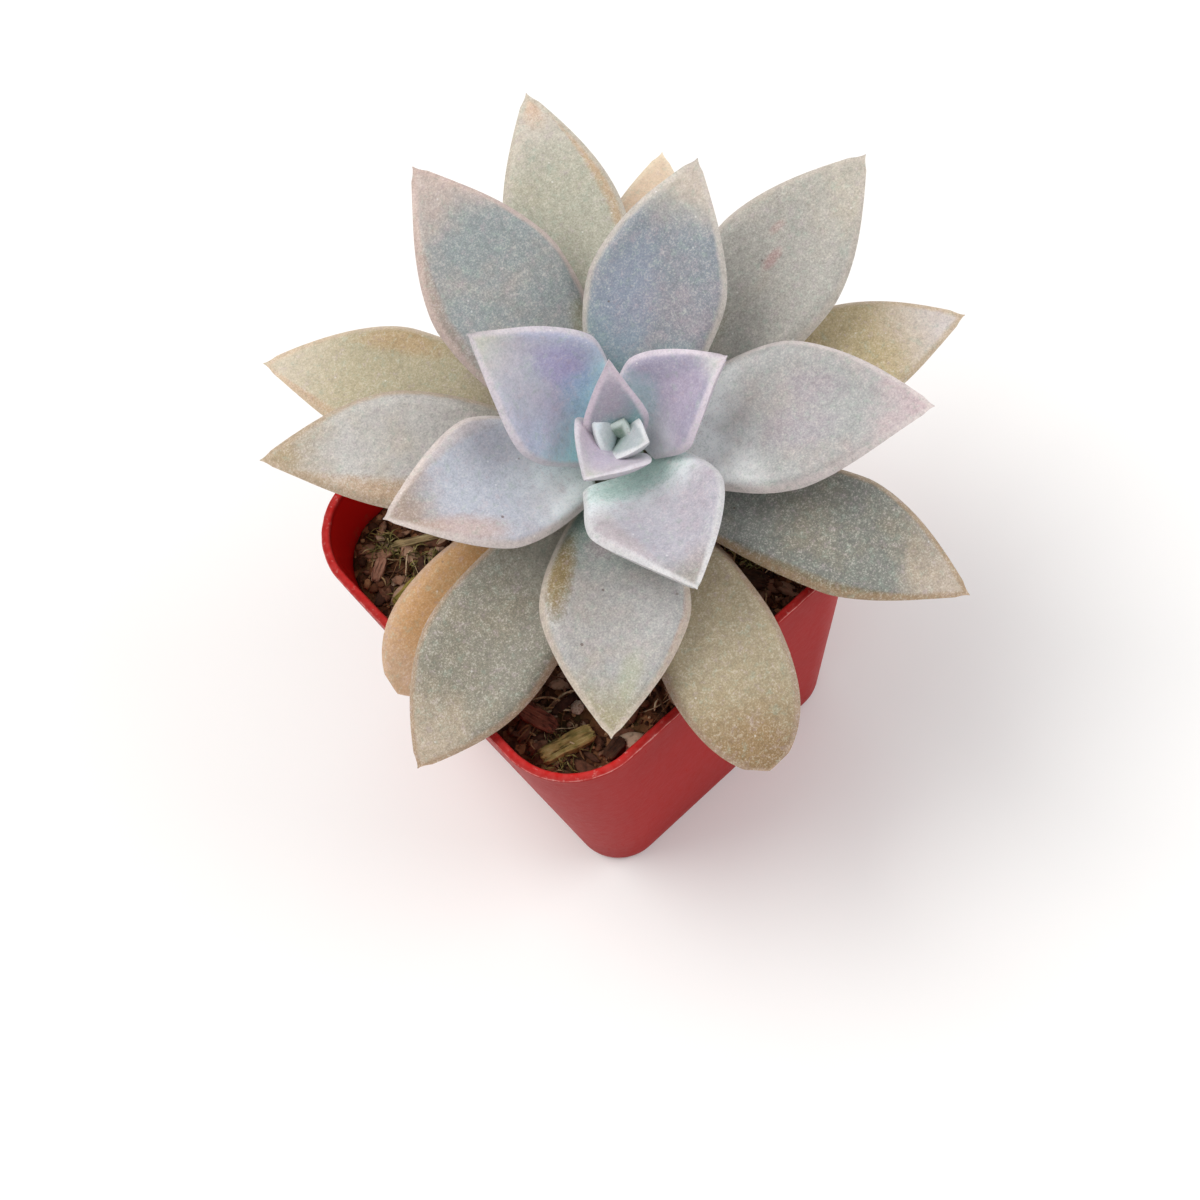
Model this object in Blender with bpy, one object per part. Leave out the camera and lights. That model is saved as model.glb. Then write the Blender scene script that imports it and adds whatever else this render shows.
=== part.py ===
"""A ghost-plant succulent rosette growing in a small square plastic pot.

Metres, +Z up. The pot stands on z = 0 with its centre at the origin and its
sides along X and Y. The rosette leans toward -Y. Nothing on the plant moves.
"""

import math

import bmesh
import bpy
from mathutils import Matrix, Vector, noise
from mathutils.bvhtree import BVHTree

MM = 0.001
GAP = 0.3 * MM              # clearance between any two pieces that touch or rest

# ---- pot -------------------------------------------------------------------
POT_TOP = 57.0 * MM         # outside width at the rim
POT_BASE = 47.0 * MM        # outside width at the foot
POT_HEIGHT = 55.0 * MM
POT_WALL = 1.2 * MM
CORNER_TOP = 11.2 * MM      # outside corner radius at the rim
CORNER_BASE = 7.0 * MM
FOOT_ROUND = 1.0 * MM       # rounding where the sides meet the base
RIM_ROUND = 0.36 * MM       # rounding of the rim's outer and inner edges
DRAIN_RADIUS = 3.0 * MM
DRAIN_INSET = 13.16 * MM    # centre of a drain hole, in from the foot's sides
CORNER_STEPS = 5            # faces round each corner
SIDE_STEPS = 4              # lengths that each straight side of the soil is cut into

# ---- soil ------------------------------------------------------------------
SOIL_DROP = 9.5 * MM        # soil surface below the rim
SOIL_RELIEF = 0.8 * MM      # height of its lumps
SOIL_RINGS = 9

# ---- plant -----------------------------------------------------------------
PLANT_MM = 1.0 * MM         # the leaf table's millimetre: 1.2 mm grows it a fifth
LEAN = math.radians(14)     # rosette axis away from upright
LEAN_TOWARD = math.radians(-16)     # measured from -Y toward -X
LEAF_FATNESS = 1.0          # scales every leaf's thickness
FIRST_LEAF_ABOVE_RIM = 1.0 * PLANT_MM
STEM_RADIUS = 3.8 * PLANT_MM
STEM_TAPER = 16 * PLANT_MM  # length over which the stem narrows to the bud
STEM_TOP = 2.2 * PLANT_MM   # end of the stem's full section, below the bud
STEM_BEND = 4.0 * PLANT_MM  # where the stem turns upright, below the first leaf
STEM_X, STEM_Y = 0.26 * POT_TOP / 2, 0.03 * POT_TOP / 2       # where the first leaf grows
SOCKET_DEPTH = 8.0 * MM     # how far the stem goes into the soil
RIM_CLEARANCE = 0.4 * MM    # under a leaf that hangs over the rim
RAISE_STEP = 0.5 * MM       # the rosette grows higher by these steps until it clears the rim

# One row per leaf, oldest first:
# azimuth, length, width, thickness, depth below the bud, rise at base, rise at tip,
# sideways sweep, how far along it is widest, width at the base, cupping, tip bluntness
LEAVES = [
    (183, 37.0, 15.0, 4.6, 21.8, 18, -8, 22, 0.62, 0.45, 0.05, 2.6),
    (40, 42.5, 15.0, 5.0, 20.9, 4, -4, 0, 0.60, 0.45, 0.08, 1.7),
    (253, 41.0, 16.0, 5.0, 20.0, 32, -14, -10, 0.62, 0.45, 0.05, 2.5),
    (120, 45.0, 17.0, 5.2, 19.5, 8, 0, 20, 0.60, 0.45, 0.08, 1.6),
    (342, 46.0, 15.0, 5.2, 18.8, 10, -2, -12, 0.62, 0.45, 0.08, 1.6),
    (194, 43.0, 17.0, 5.2, 17.5, 22, -23, 5, 0.58, 0.45, 0.06, 1.9),
    (61, 48.0, 16.5, 5.4, 17.4, 10, 4, 8, 0.58, 0.45, 0.08, 1.8),
    (296, 43.5, 16.0, 5.5, 16.0, 15, -6, -12, 0.60, 0.45, 0.12, 1.6),
    (138, 41.5, 16.0, 5.4, 15.4, 12, 4, 15, 0.56, 0.45, 0.10, 1.6),
    (8, 46.5, 18.0, 5.6, 15.0, 13, 12, 0, 0.60, 0.45, 0.12, 1.7),
    (226, 33.0, 18.5, 5.6, 13.6, 21, 6, 0, 0.50, 0.45, 0.12, 1.7),
    (84, 41.0, 19.0, 6.0, 13.0, 20, 18, 0, 0.55, 0.45, 0.14, 1.6),
    (323, 36.5, 19.0, 5.8, 12.1, 22, 14, -20, 0.52, 0.44, 0.16, 1.6),
    (158, 28.5, 17.5, 6.0, 11.0, 24, 22, 8, 0.50, 0.45, 0.22, 1.6),
    (31, 34.5, 17.5, 5.8, 9.9, 30, 28, -10, 0.52, 0.44, 0.16, 1.7),
    (252, 22.5, 17.5, 5.8, 8.3, 33, 34, -10, 0.43, 0.70, 0.30, 1.5),
    (108, 23.0, 17.0, 5.2, 7.6, 40, 42, 10, 0.42, 0.50, 0.32, 1.5),
    (349, 17.5, 13.5, 4.8, 6.8, 42, 46, -26, 0.42, 0.52, 0.36, 1.4),
    (194, 10.5, 10.0, 2.7, 4.8, 65, 48, 0, 0.36, 0.62, 0.36, 1.5),
    (57, 12.0, 7.8, 2.7, 3.6, 62, 61, -8, 0.28, 0.72, 0.34, 1.3),
    (287, 6.5, 5.2, 1.9, 2.5, 71, 47, 0, 0.40, 0.82, 0.44, 1.5),
    (130, 5.5, 4.6, 1.9, 1.9, 72, 48, 0, 0.40, 0.80, 0.46, 1.4),
    (10, 3.0, 2.2, 1.4, 1.1, 74, 74, 0, 0.35, 0.80, 0.40, 1.4),
]

# Where each leaf is cut across, as a share of its length; a blunt base and a
# pointed tip close it.
STATIONS = [0.012, 0.06, 0.15, 0.27, 0.40, 0.52, 0.64, 0.75, 0.85, 0.93, 0.98]
HALF_SECTION = 6            # faces across the upper side of a leaf, and across the lower

# Grit lying on the soil: name, place as shares of the soil's half width,
# turn in degrees, then length, width and thickness in mm for a pot GRIT_POT_TOP wide
GRIT_POT_TOP = 57.0 * MM
BARK_CHIPS = [
    ("bark_chip_1", (-0.81, -0.50), -75, 6.2, 2.6, 1.4),
    ("bark_chip_2", (-0.80, -0.71), -16, 8.0, 2.6, 1.3),
    ("bark_chip_3", (-0.64, -0.89), 5, 3.6, 1.9, 1.2),
    ("bark_chip_4", (-0.86, 0.73), 30, 4.0, 1.7, 1.0),
    ("bark_chip_5", (0.48, -0.72), 120, 4.6, 2.4, 1.2),
    ("bark_chip_6", (0.24, -0.82), 20, 4.0, 2.2, 1.1),
]
TWIGS = [
    ("twig_1", (-0.60, 0.70), -36, 8.5, 0.9),
    ("twig_2", (-0.82, 0.52), 1, 6.0, 1.0),
]
PEBBLES = [
    ("perlite_1", (-0.56, 0.46), 1.5),
    ("perlite_2", (-0.63, -0.60), 1.8),
    ("perlite_3", (-0.93, -0.32), 1.3),
]


def clear_scene():
    for obj in list(bpy.data.objects):
        bpy.data.objects.remove(obj, do_unlink=True)
    for mesh in list(bpy.data.meshes):
        bpy.data.meshes.remove(mesh)


def material(name, colour, roughness, metallic=0.0):
    mat = bpy.data.materials.new(name)
    mat.use_nodes = True
    shader = mat.node_tree.nodes["Principled BSDF"]
    shader.inputs["Base Color"].default_value = (*colour, 1.0)
    shader.inputs["Roughness"].default_value = roughness
    shader.inputs["Metallic"].default_value = metallic
    mat.diffuse_color = (*colour, 1.0)
    return mat


def finish(name, bm, mat, parent=None):
    """The bmesh as a named, smooth, outward-facing object."""
    bmesh.ops.recalc_face_normals(bm, faces=bm.faces)
    for face in bm.faces:
        face.smooth = True
    mesh = bpy.data.meshes.new(name)
    bm.to_mesh(mesh)
    bm.free()
    mesh.materials.append(mat)
    obj = bpy.data.objects.new(name, mesh)
    obj.parent = parent
    bpy.context.scene.collection.objects.link(obj)
    return obj


def loft(bm, rings, first=None, last=None):
    """Faces through equal rings of points. A first or last point closes an end;
    without one the end ring is filled flat."""
    rows = [[bm.verts.new(p) for p in ring] for ring in rings]
    for one, two in zip(rows, rows[1:]):
        for j in range(len(one)):
            k = (j + 1) % len(one)
            bm.faces.new((one[j], one[k], two[k], two[j]))
    for row, point in ((rows[0], first), (rows[-1], last)):
        if point is None:
            bm.faces.new(row)
            continue
        tip = bm.verts.new(point)
        for j in range(len(row)):
            bm.faces.new((row[j], row[(j + 1) % len(row)], tip))
    return rows


def cut(obj, cutter, name):
    """Takes the cutter away from the object and hides it."""
    cutter.hide_render = True
    cutter.display_type = "WIRE"
    boolean = obj.modifiers.new(name, "BOOLEAN")
    boolean.operation = "DIFFERENCE"
    boolean.solver = "EXACT"
    boolean.object = cutter


# ---- pot -------------------------------------------------------------------


def half_width(z):
    """Half the pot's outside width at height z."""
    return (POT_BASE + (POT_TOP - POT_BASE) * z / POT_HEIGHT) / 2


def corner_radius(z):
    return CORNER_BASE + (CORNER_TOP - CORNER_BASE) * z / POT_HEIGHT


# the way round from each corner to the next
TURN = [Vector((-1, 0, 0)), Vector((0, -1, 0)), Vector((1, 0, 0)), Vector((0, 1, 0))]


def square_ring(half, radius, z, side_steps=1):
    """A rounded square, centred on Z."""
    ring = []
    for quarter, (sx, sy) in enumerate(((1, 1), (-1, 1), (-1, -1), (1, -1))):
        for i in range(CORNER_STEPS + 1):
            a = math.radians(90) * (quarter + i / CORNER_STEPS)
            x = sx * (half - radius) + radius * math.cos(a)
            y = sy * (half - radius) + radius * math.sin(a)
            ring.append(Vector((x, y, z)))
        straight = 2 * (half - radius) / side_steps
        ring += [ring[-1] + TURN[quarter] * straight * k for k in range(1, side_steps)]
    return ring


def pot_ring(z, inset, side_steps=1):
    """The pot's section at height z, moved in from its outside by inset."""
    return square_ring(half_width(z) - inset, corner_radius(z) - inset, z, side_steps)


def make_pot():
    """Walls, floor and rim in one loft, with the drain holes cut through."""
    rim = min(RIM_ROUND, POT_WALL / 2.5)
    drain = POT_BASE / 2 - DRAIN_INSET
    rings = [pot_ring(0, FOOT_ROUND)]
    rings.append([p + Vector((0, 0, FOOT_ROUND * 0.3)) for p in pot_ring(0, FOOT_ROUND * 0.3)])
    rings.append(pot_ring(FOOT_ROUND, 0))
    rings.append(pot_ring(POT_HEIGHT - rim, 0))
    rings.append(pot_ring(POT_HEIGHT, rim))
    rings.append(pot_ring(POT_HEIGHT, POT_WALL - rim))
    rings.append(pot_ring(POT_HEIGHT - rim, POT_WALL))
    rings.append(pot_ring(POT_WALL, POT_WALL))
    bm = bmesh.new()
    loft(bm, rings)
    pot = finish("pot", bm, material("pot_red", (0.42, 0.016, 0.018), 0.42))

    for i, (sx, sy) in enumerate(((1, 1), (-1, 1), (-1, -1), (1, -1))):
        bm = bmesh.new()
        bmesh.ops.create_cone(
            bm, cap_ends=True, segments=16, radius1=DRAIN_RADIUS, radius2=DRAIN_RADIUS, depth=POT_WALL * 5
        )
        drill = finish(f"drain_cutter_{i}", bm, pot.data.materials[0])
        drill.location = (sx * drain, sy * drain, POT_WALL / 2)
        cut(pot, drill, f"drain_{i}")
    return pot


# ---- soil ------------------------------------------------------------------

SOIL_Z = POT_HEIGHT - SOIL_DROP
SOIL_HALF = half_width(SOIL_Z) - POT_WALL - GAP


def soil_height(x, y):
    """The lumpy top of the soil, level at the wall."""
    edge = max(abs(x), abs(y)) / SOIL_HALF
    lump = noise.noise(Vector((x, y, 0)) / (5 * MM))
    lump += 0.5 * noise.noise(Vector((x, y, 4 * MM)) / (2.5 * MM))
    return SOIL_Z + SOIL_RELIEF * lump * max(0.0, 1 - edge ** 4)


def make_soil():
    """Filled to the wall and floor, with a socket that the stem stands in."""
    low = POT_WALL + GAP
    rings = [pot_ring(z, POT_WALL + GAP, SIDE_STEPS) for z in (low, SOIL_Z)]
    edge = rings[-1]
    for i in range(1, SOIL_RINGS):
        share = 1 - i / SOIL_RINGS
        rings.append([Vector((p.x * share, p.y * share, soil_height(p.x * share, p.y * share))) for p in edge])
    bm = bmesh.new()
    loft(bm, rings, last=Vector((0, 0, soil_height(0, 0))))
    return finish("soil", bm, material("soil_brown", (0.045, 0.026, 0.017), 0.95))


def settle(bm, place, turn, scale, ground, ground_points):
    """Lays a piece of grit on the soil, GAP clear of it at the nearest point."""
    x, y = place[0] * SOIL_HALF, place[1] * SOIL_HALF
    size = Matrix.Diagonal((scale, scale, scale, 1))
    bm.transform(Matrix.Translation((x, y, POT_HEIGHT)) @ Matrix.Rotation(math.radians(turn), 4, "Z") @ size)
    bm.normal_update()
    piece = BVHTree.FromBMesh(bm)
    down, up = Vector((0, 0, -1)), Vector((0, 0, 1))
    falls = [ground.ray_cast(v.co, down)[3] for v in bm.verts]
    falls += [piece.ray_cast(v, up)[3] for v in ground_points]
    fall = min(f for f in falls if f is not None)
    bmesh.ops.translate(bm, verts=bm.verts, vec=(0, 0, GAP - fall))


def ragged(point):
    """A smooth random offset for this point, each part within about 1."""
    return Vector([noise.noise(point + Vector((0, 0, 17 * k))) for k in range(3)])


def make_grit(soil):
    scale = MM * POT_TOP / GRIT_POT_TOP
    points = [v.co.copy() for v in soil.data.vertices]
    ground = BVHTree.FromPolygons(points, [list(p.vertices) for p in soil.data.polygons])
    bark = material("bark_brown", (0.13, 0.05, 0.028), 0.9)
    wood = material("twig_tan", (0.36, 0.29, 0.14), 0.85)
    stone = material("perlite_grey", (0.42, 0.37, 0.31), 0.9)

    for i, (name, place, turn, length, width, thick) in enumerate(BARK_CHIPS):
        bm = bmesh.new()
        bmesh.ops.create_cube(bm, size=1)
        bmesh.ops.subdivide_edges(bm, edges=bm.edges, cuts=2, use_grid_fill=True)
        for v in bm.verts:
            offset = ragged(v.co * 2.3 + Vector((i * 7, 0, 0)))
            v.co.x *= 1 - 0.35 * abs(v.co.y * 2) ** 2
            v.co.y *= 1 - 0.55 * abs(v.co.x * 2) ** 2
            v.co += Vector((0.05, 0.10, 0.14)) * offset
        bm.transform(Matrix.Diagonal((length, width, thick, 1)))
        settle(bm, place, turn, scale, ground, points)
        finish(name, bm, bark)

    for i, (name, place, turn, length, thick) in enumerate(TWIGS):
        rings = []
        for k in range(7):
            along = k / 6 - 0.5
            radius = thick / 2 * (1 - 0.45 * (along + 0.5))
            bend = 0.06 * length * math.cos(math.pi * along) + 0.05 * length * math.sin(5 * along + i)
            centre = Vector((along * length, bend, 0))
            rings.append(
                [centre + Vector((0, radius * math.cos(a), radius * math.sin(a)))
                 for a in (math.radians(60) * n for n in range(6))]
            )
        bm = bmesh.new()
        loft(bm, rings)
        settle(bm, place, turn, scale, ground, points)
        finish(name, bm, wood)

    for i, (name, place, size) in enumerate(PEBBLES):
        bm = bmesh.new()
        bmesh.ops.create_icosphere(bm, subdivisions=2, radius=size / 2)
        for v in bm.verts:
            v.co *= 1 + 0.25 * noise.noise(v.co / size * 2.2 + Vector((i * 5, 0, 0)))
            v.co.z *= 0.8
        settle(bm, place, 0, scale, ground, points)
        finish(name, bm, stone)


# ---- plant -----------------------------------------------------------------


def bud_frame(raised):
    """The rosette's own axes: origin in the bud, Z out along the stem."""
    z = Vector((math.sin(LEAN_TOWARD) * math.sin(LEAN), -math.cos(LEAN_TOWARD) * math.sin(LEAN), math.cos(LEAN)))
    x = (Vector((1, 0, 0)) - z * z.x).normalized()
    y = z.cross(x)
    depth = LEAVES[0][4] * PLANT_MM * LEAF_FATNESS
    first = Vector((STEM_X, STEM_Y, POT_HEIGHT + FIRST_LEAF_ABOVE_RIM + raised))
    turn = Matrix((x, y, z)).transposed().to_4x4()
    return Matrix.Translation(first + z * depth) @ turn


def stem_radius(depth):
    """The stem's radius this far below the bud."""
    return STEM_RADIUS * math.sin(math.pi / 2 * min(1.0, depth / (STEM_TAPER * LEAF_FATNESS)))


def make_stem(frame, soil):
    """One tapering stem down the rosette's axis, bending upright into its socket."""
    top = STEM_TOP * LEAF_FATNESS
    axis = frame.to_3x3().col[2]
    bottom_leaf = LEAVES[0][4] * PLANT_MM * LEAF_FATNESS
    root = frame @ Vector((0, 0, -bottom_leaf - STEM_BEND))
    path = []
    for k in range(13):
        depth = top + (bottom_leaf + 0.75 * STEM_BEND - top) * k / 12
        path.append((frame @ Vector((0, 0, -depth)), axis, stem_radius(depth)))
    floor = SOIL_Z - SOCKET_DEPTH
    for k in range(1, 6):
        z = root.z + (floor - root.z) * k / 5
        share = min(1.0, k / 2)
        way = axis.lerp(Vector((0, 0, 1)), share).normalized()
        path.append((Vector((root.x, root.y, z)), way, STEM_RADIUS))

    rings = []
    for centre, way, radius in path:
        side = Vector((1, 0, 0)).cross(way).normalized()
        across = way.cross(side)
        ring = [centre + radius * (math.cos(a) * across + math.sin(a) * side)
                for a in (math.tau * n / 16 for n in range(16))]
        rings.append(ring)
    bm = bmesh.new()
    loft(bm, rings, first=frame @ Vector((0, 0, -top * 0.85)))
    stem = finish("stem", bm, material("stem_olive", (0.20, 0.19, 0.10), 0.7))

    bm = bmesh.new()
    reach = SOCKET_DEPTH + SOIL_RELIEF * 3
    bmesh.ops.create_cone(
        bm, cap_ends=True, segments=24, radius1=STEM_RADIUS + GAP, radius2=STEM_RADIUS + GAP * 1.5,
        depth=reach + GAP
    )
    socket = finish("socket_cutter", bm, stem.data.materials[0])
    socket.location = (root.x, root.y, floor - GAP + (reach + GAP) / 2)
    cut(soil, socket, "socket")
    return stem


def section(width, thick, cup):
    """One leaf section, across Y and up Z: flat above with rounded margins, keeled below."""
    points = []
    for side in (1, -1):
        for i in range(HALF_SECTION):
            u = -side * math.cos(math.pi * i / HALF_SECTION)
            if side > 0:
                z = 0.42 * (1 - abs(u) ** 2.6) ** 0.62 - 0.12 * (1 - u * u)
            else:
                z = -0.58 * (1 - u * u) ** 0.75
            points.append(Vector((0, width * u, thick * z + cup * width * u * u)))
    return points


def leaf_rings(row):
    """Sections, base point and tip point of a leaf, in the rosette's axes."""
    azimuth, length, width, thick, depth, rise0, rise1, sweep, widest, base, cup, blunt = row
    length, width, thick = length * PLANT_MM, width * PLANT_MM, thick * PLANT_MM * LEAF_FATNESS
    depth = depth * PLANT_MM * LEAF_FATNESS
    start = stem_radius(depth) + GAP

    def direction(s):
        rise = math.radians(rise0 + (rise1 - rise0) * s)
        head = math.radians(sweep * (s - 0.5))
        return Vector((math.cos(rise) * math.cos(head), math.cos(rise) * math.sin(head), math.sin(rise)))

    def centre(s):
        steps = 24
        way = sum((direction(s * (k + 0.5) / steps) for k in range(steps)), Vector())
        return Vector((start, 0, 0)) + way * length * s / steps

    turn = Matrix.Translation((0, 0, -depth)) @ Matrix.Rotation(math.radians(azimuth), 4, "Z")
    rings = []
    for s in STATIONS:
        along = direction(s)
        side = Vector((0, 0, 1)).cross(along).normalized()
        up = along.cross(side)
        if s < widest:
            share = base + (1 - base) * math.sin(math.pi / 2 * s / widest) ** 1.25
        else:
            share = (1 - ((s - widest) / (1 - widest)) ** blunt) ** 1.1
        ends = min(1, math.sqrt(25 * s))
        full = 0.62 + 0.38 * math.sin(math.pi * min(1, s / 0.95) ** 0.9)
        full *= 1 - 0.62 * max(0, (s - 0.55) / 0.45) ** 2
        full *= ends * min(1, math.sqrt(14 * (1 - s)))
        ring = section(width / 2 * share * ends, thick * full, cup)
        here = centre(s)
        rings.append([turn @ (here + side * p.y + up * p.z) for p in ring])
    return rings, turn @ centre(0.0), turn @ centre(1.0)


def hits_rim(points):
    """Whether any of these world points is in the pot's wall or too near it."""
    for p in points:
        if p.z > POT_HEIGHT + RIM_CLEARANCE:
            continue
        radius = corner_radius(p.z)
        corner = half_width(p.z) - radius
        dx, dy = max(0, abs(p.x) - corner), max(0, abs(p.y) - corner)
        outside = math.hypot(dx, dy) - radius
        if -POT_WALL - RIM_CLEARANCE < outside < RIM_CLEARANCE:
            return True
    return False


def leaf_skin(rings, tip):
    """Points all over a leaf, closer than its rings."""
    steps = 4
    return [one.lerp(two, k / steps)
            for ring, after in zip(rings, rings[1:] + [[tip] * len(rings[0])])
            for one, two in zip(ring, after) for k in range(steps)]


def clear_frame(leaves):
    """The rosette's axes, raised until no leaf touches the rim."""
    skin = [p for rings, _, tip in leaves for p in leaf_skin(rings, tip)]
    raised = 0.0
    frame = bud_frame(raised)
    while hits_rim([frame @ p for p in skin]):
        raised += RAISE_STEP
        frame = bud_frame(raised)
    return frame


def make_leaves(frame, leaves):
    """The rosette, on an empty in the bud."""
    rosette = bpy.data.objects.new("rosette", None)
    rosette.empty_display_size = 10 * MM
    rosette.matrix_world = frame
    bpy.context.scene.collection.objects.link(rosette)

    old, new = Vector((0.36, 0.33, 0.22)), Vector((0.42, 0.53, 0.53))
    for i, (rings, base, tip) in enumerate(leaves):
        young = i / (len(leaves) - 1)
        colour = old.lerp(new, min(1, young * 1.4))
        bm = bmesh.new()
        loft(bm, rings, first=base, last=tip)
        finish(f"leaf_{i + 1:02d}", bm, material(f"leaf_{i + 1:02d}_skin", colour, 0.55), rosette)


def main():
    clear_scene()
    make_pot()
    soil = make_soil()
    leaves = [leaf_rings(row) for row in LEAVES]
    frame = clear_frame(leaves)
    make_stem(frame, soil)
    make_leaves(frame, leaves)
    make_grit(soil)


main()
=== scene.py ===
"""Builds the looks of a ghost-plant succulent in a small square plastic pot.

Metres, +Z up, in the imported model's own frame: the pot stands on z = 0 with its
centre at the origin, and the rosette leans toward -Y.
"""

import math
import random

import bmesh
import bpy
import numpy as np
from bpy.props import FloatProperty, FloatVectorProperty, IntProperty, PointerProperty
from mathutils import Matrix, Vector, noise


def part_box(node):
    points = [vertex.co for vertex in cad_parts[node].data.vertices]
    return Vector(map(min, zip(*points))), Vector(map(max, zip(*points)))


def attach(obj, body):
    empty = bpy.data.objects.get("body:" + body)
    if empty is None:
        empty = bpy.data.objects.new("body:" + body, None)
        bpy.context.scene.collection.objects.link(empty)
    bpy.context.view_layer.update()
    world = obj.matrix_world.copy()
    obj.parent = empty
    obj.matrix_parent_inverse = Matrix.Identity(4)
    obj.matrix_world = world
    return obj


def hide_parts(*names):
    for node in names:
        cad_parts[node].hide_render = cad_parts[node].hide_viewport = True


bl_info = {
    "name": "Potted Succulent",
    "version": (1, 0, 0),
    "blender": (4, 5, 0),
    "location": "3D View > Sidebar > Succulent",
    "description": "A ghost-plant rosette growing in bark mix in a small square pot",
    "category": "Add Mesh",
}

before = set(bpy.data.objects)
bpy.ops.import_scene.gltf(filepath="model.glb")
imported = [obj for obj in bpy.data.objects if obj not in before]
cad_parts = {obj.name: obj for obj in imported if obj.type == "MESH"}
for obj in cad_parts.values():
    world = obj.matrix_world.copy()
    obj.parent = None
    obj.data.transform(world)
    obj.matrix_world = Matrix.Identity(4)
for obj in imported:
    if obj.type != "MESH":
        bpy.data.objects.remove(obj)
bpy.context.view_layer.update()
POT_LOW, POT_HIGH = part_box("pot")

MM = 0.001
BODY = "root"
TOUCH = 0.3 * MM               # between pieces that touch or rest
SQUARE = ((1, 1), (-1, 1), (-1, -1), (1, -1))

# The rosette: where the lowest leaf joins the stem, as shares of the pot's half width,
# and the stem's lengths in the leaf table's millimetres
LOWEST_LEAF = (0.26, 0.03)
STEM_TAPER, STEM_TOP, STEM_BEND, STEM_LAST = 16, 3.0, 4, 3
SOCKET_DEPTH = 8 * MM          # how far the stem goes into the soil
FIRST_MIDDLE, FIRST_YOUNG, FIRST_BUD = 9, 15, 18

# How finely the lofts are cut
POT_CUTS = {"corner_steps": 22, "side_steps": 52}
SOIL_CUTS = {"corner_steps": 18, "side_steps": 60}
SOIL_RINGS = 62
LEAF_CUTS, BUD_CUTS = (90, 34), (60, 24)
STEM_SIDES = 40

# Seeds of the litter, and the crumb size from which crumbs are rounder
CRUMB_SEED, FLAKE_SEED, FIBRE_SEED = 40, 11, 23
BIG_CRUMB = 0.9 * MM

# Pale pink for a painted highlight along the rim's outer edge, and for the rim's real chips.
RIM_HIGHLIGHT_AND_CHIP_PINK = (0.80, 0.48, 0.44)
WHITE_DUST = (0.92, 0.91, 0.88)
SPECK_SPACING = 3.4            # between the dark specks on a leaf, in mm

# One row per leaf, oldest first:
# azimuth, length, width, thickness, depth below the bud, rise at base, rise at tip,
# sideways sweep, how far along it is widest, width at the base, cupping, tip bluntness
LEAF_SHAPES = [
    (183, 37.0, 15.0, 4.6, 21.8, 18, -8, 22, 0.62, 0.45, 0.05, 2.6),
    (40, 42.5, 15.0, 5.0, 20.9, 4, -4, 0, 0.60, 0.45, 0.08, 1.7),
    (253, 41.0, 16.0, 5.0, 20.0, 32, -14, -10, 0.62, 0.45, 0.05, 2.5),
    (120, 45.0, 17.0, 5.2, 19.5, 8, 0, 20, 0.60, 0.45, 0.08, 1.6),
    (342, 46.0, 15.0, 5.2, 18.8, 10, -2, -12, 0.62, 0.45, 0.08, 1.6),
    (194, 43.0, 17.0, 5.2, 17.5, 22, -23, 5, 0.58, 0.45, 0.06, 1.9),
    (61, 48.0, 16.5, 5.4, 17.4, 10, 4, 8, 0.58, 0.45, 0.08, 1.8),
    (296, 43.5, 16.0, 5.5, 16.0, 15, -6, -12, 0.60, 0.45, 0.12, 1.6),
    (138, 41.5, 16.0, 5.4, 15.4, 12, 4, 15, 0.56, 0.45, 0.10, 1.6),
    (8, 46.5, 18.0, 5.6, 15.0, 13, 12, 0, 0.60, 0.45, 0.12, 1.7),
    (226, 33.0, 18.5, 5.6, 13.6, 21, 6, 0, 0.50, 0.45, 0.12, 1.7),
    (84, 41.0, 19.0, 6.0, 13.0, 20, 18, 0, 0.55, 0.45, 0.14, 1.6),
    (323, 36.5, 19.0, 5.8, 12.1, 22, 14, -20, 0.52, 0.44, 0.16, 1.6),
    (158, 28.5, 17.5, 6.0, 11.0, 24, 22, 8, 0.50, 0.45, 0.22, 1.6),
    (31, 34.5, 17.5, 5.8, 9.9, 30, 28, -10, 0.52, 0.44, 0.16, 1.7),
    (252, 22.5, 17.5, 5.8, 8.3, 33, 34, -10, 0.43, 0.70, 0.30, 1.5),
    (108, 23.0, 17.0, 5.2, 7.6, 40, 42, 10, 0.42, 0.50, 0.32, 1.5),
    (349, 17.5, 13.5, 4.8, 6.8, 42, 46, -26, 0.42, 0.52, 0.36, 1.4),
    (196, 10.4, 10.6, 3.0, 4.4, 61, 38, 0, 0.40, 0.70, 0.52, 1.5),
    (57, 12.9, 8.2, 3.2, 3.6, 63, 61, -8, 0.30, 0.80, 0.26, 1.3),
    (292, 6.2, 5.8, 2.4, 2.6, 62, 46, 8, 0.42, 0.90, 0.26, 1.5),
    (120, 4.8, 5.2, 2.2, 2.7, 62, 46, 0, 0.42, 0.90, 0.20, 1.6),
    (26, 3.4, 3.2, 2.0, 2.1, 72, 66, 0, 0.40, 0.92, 0.20, 1.4),
]
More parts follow.
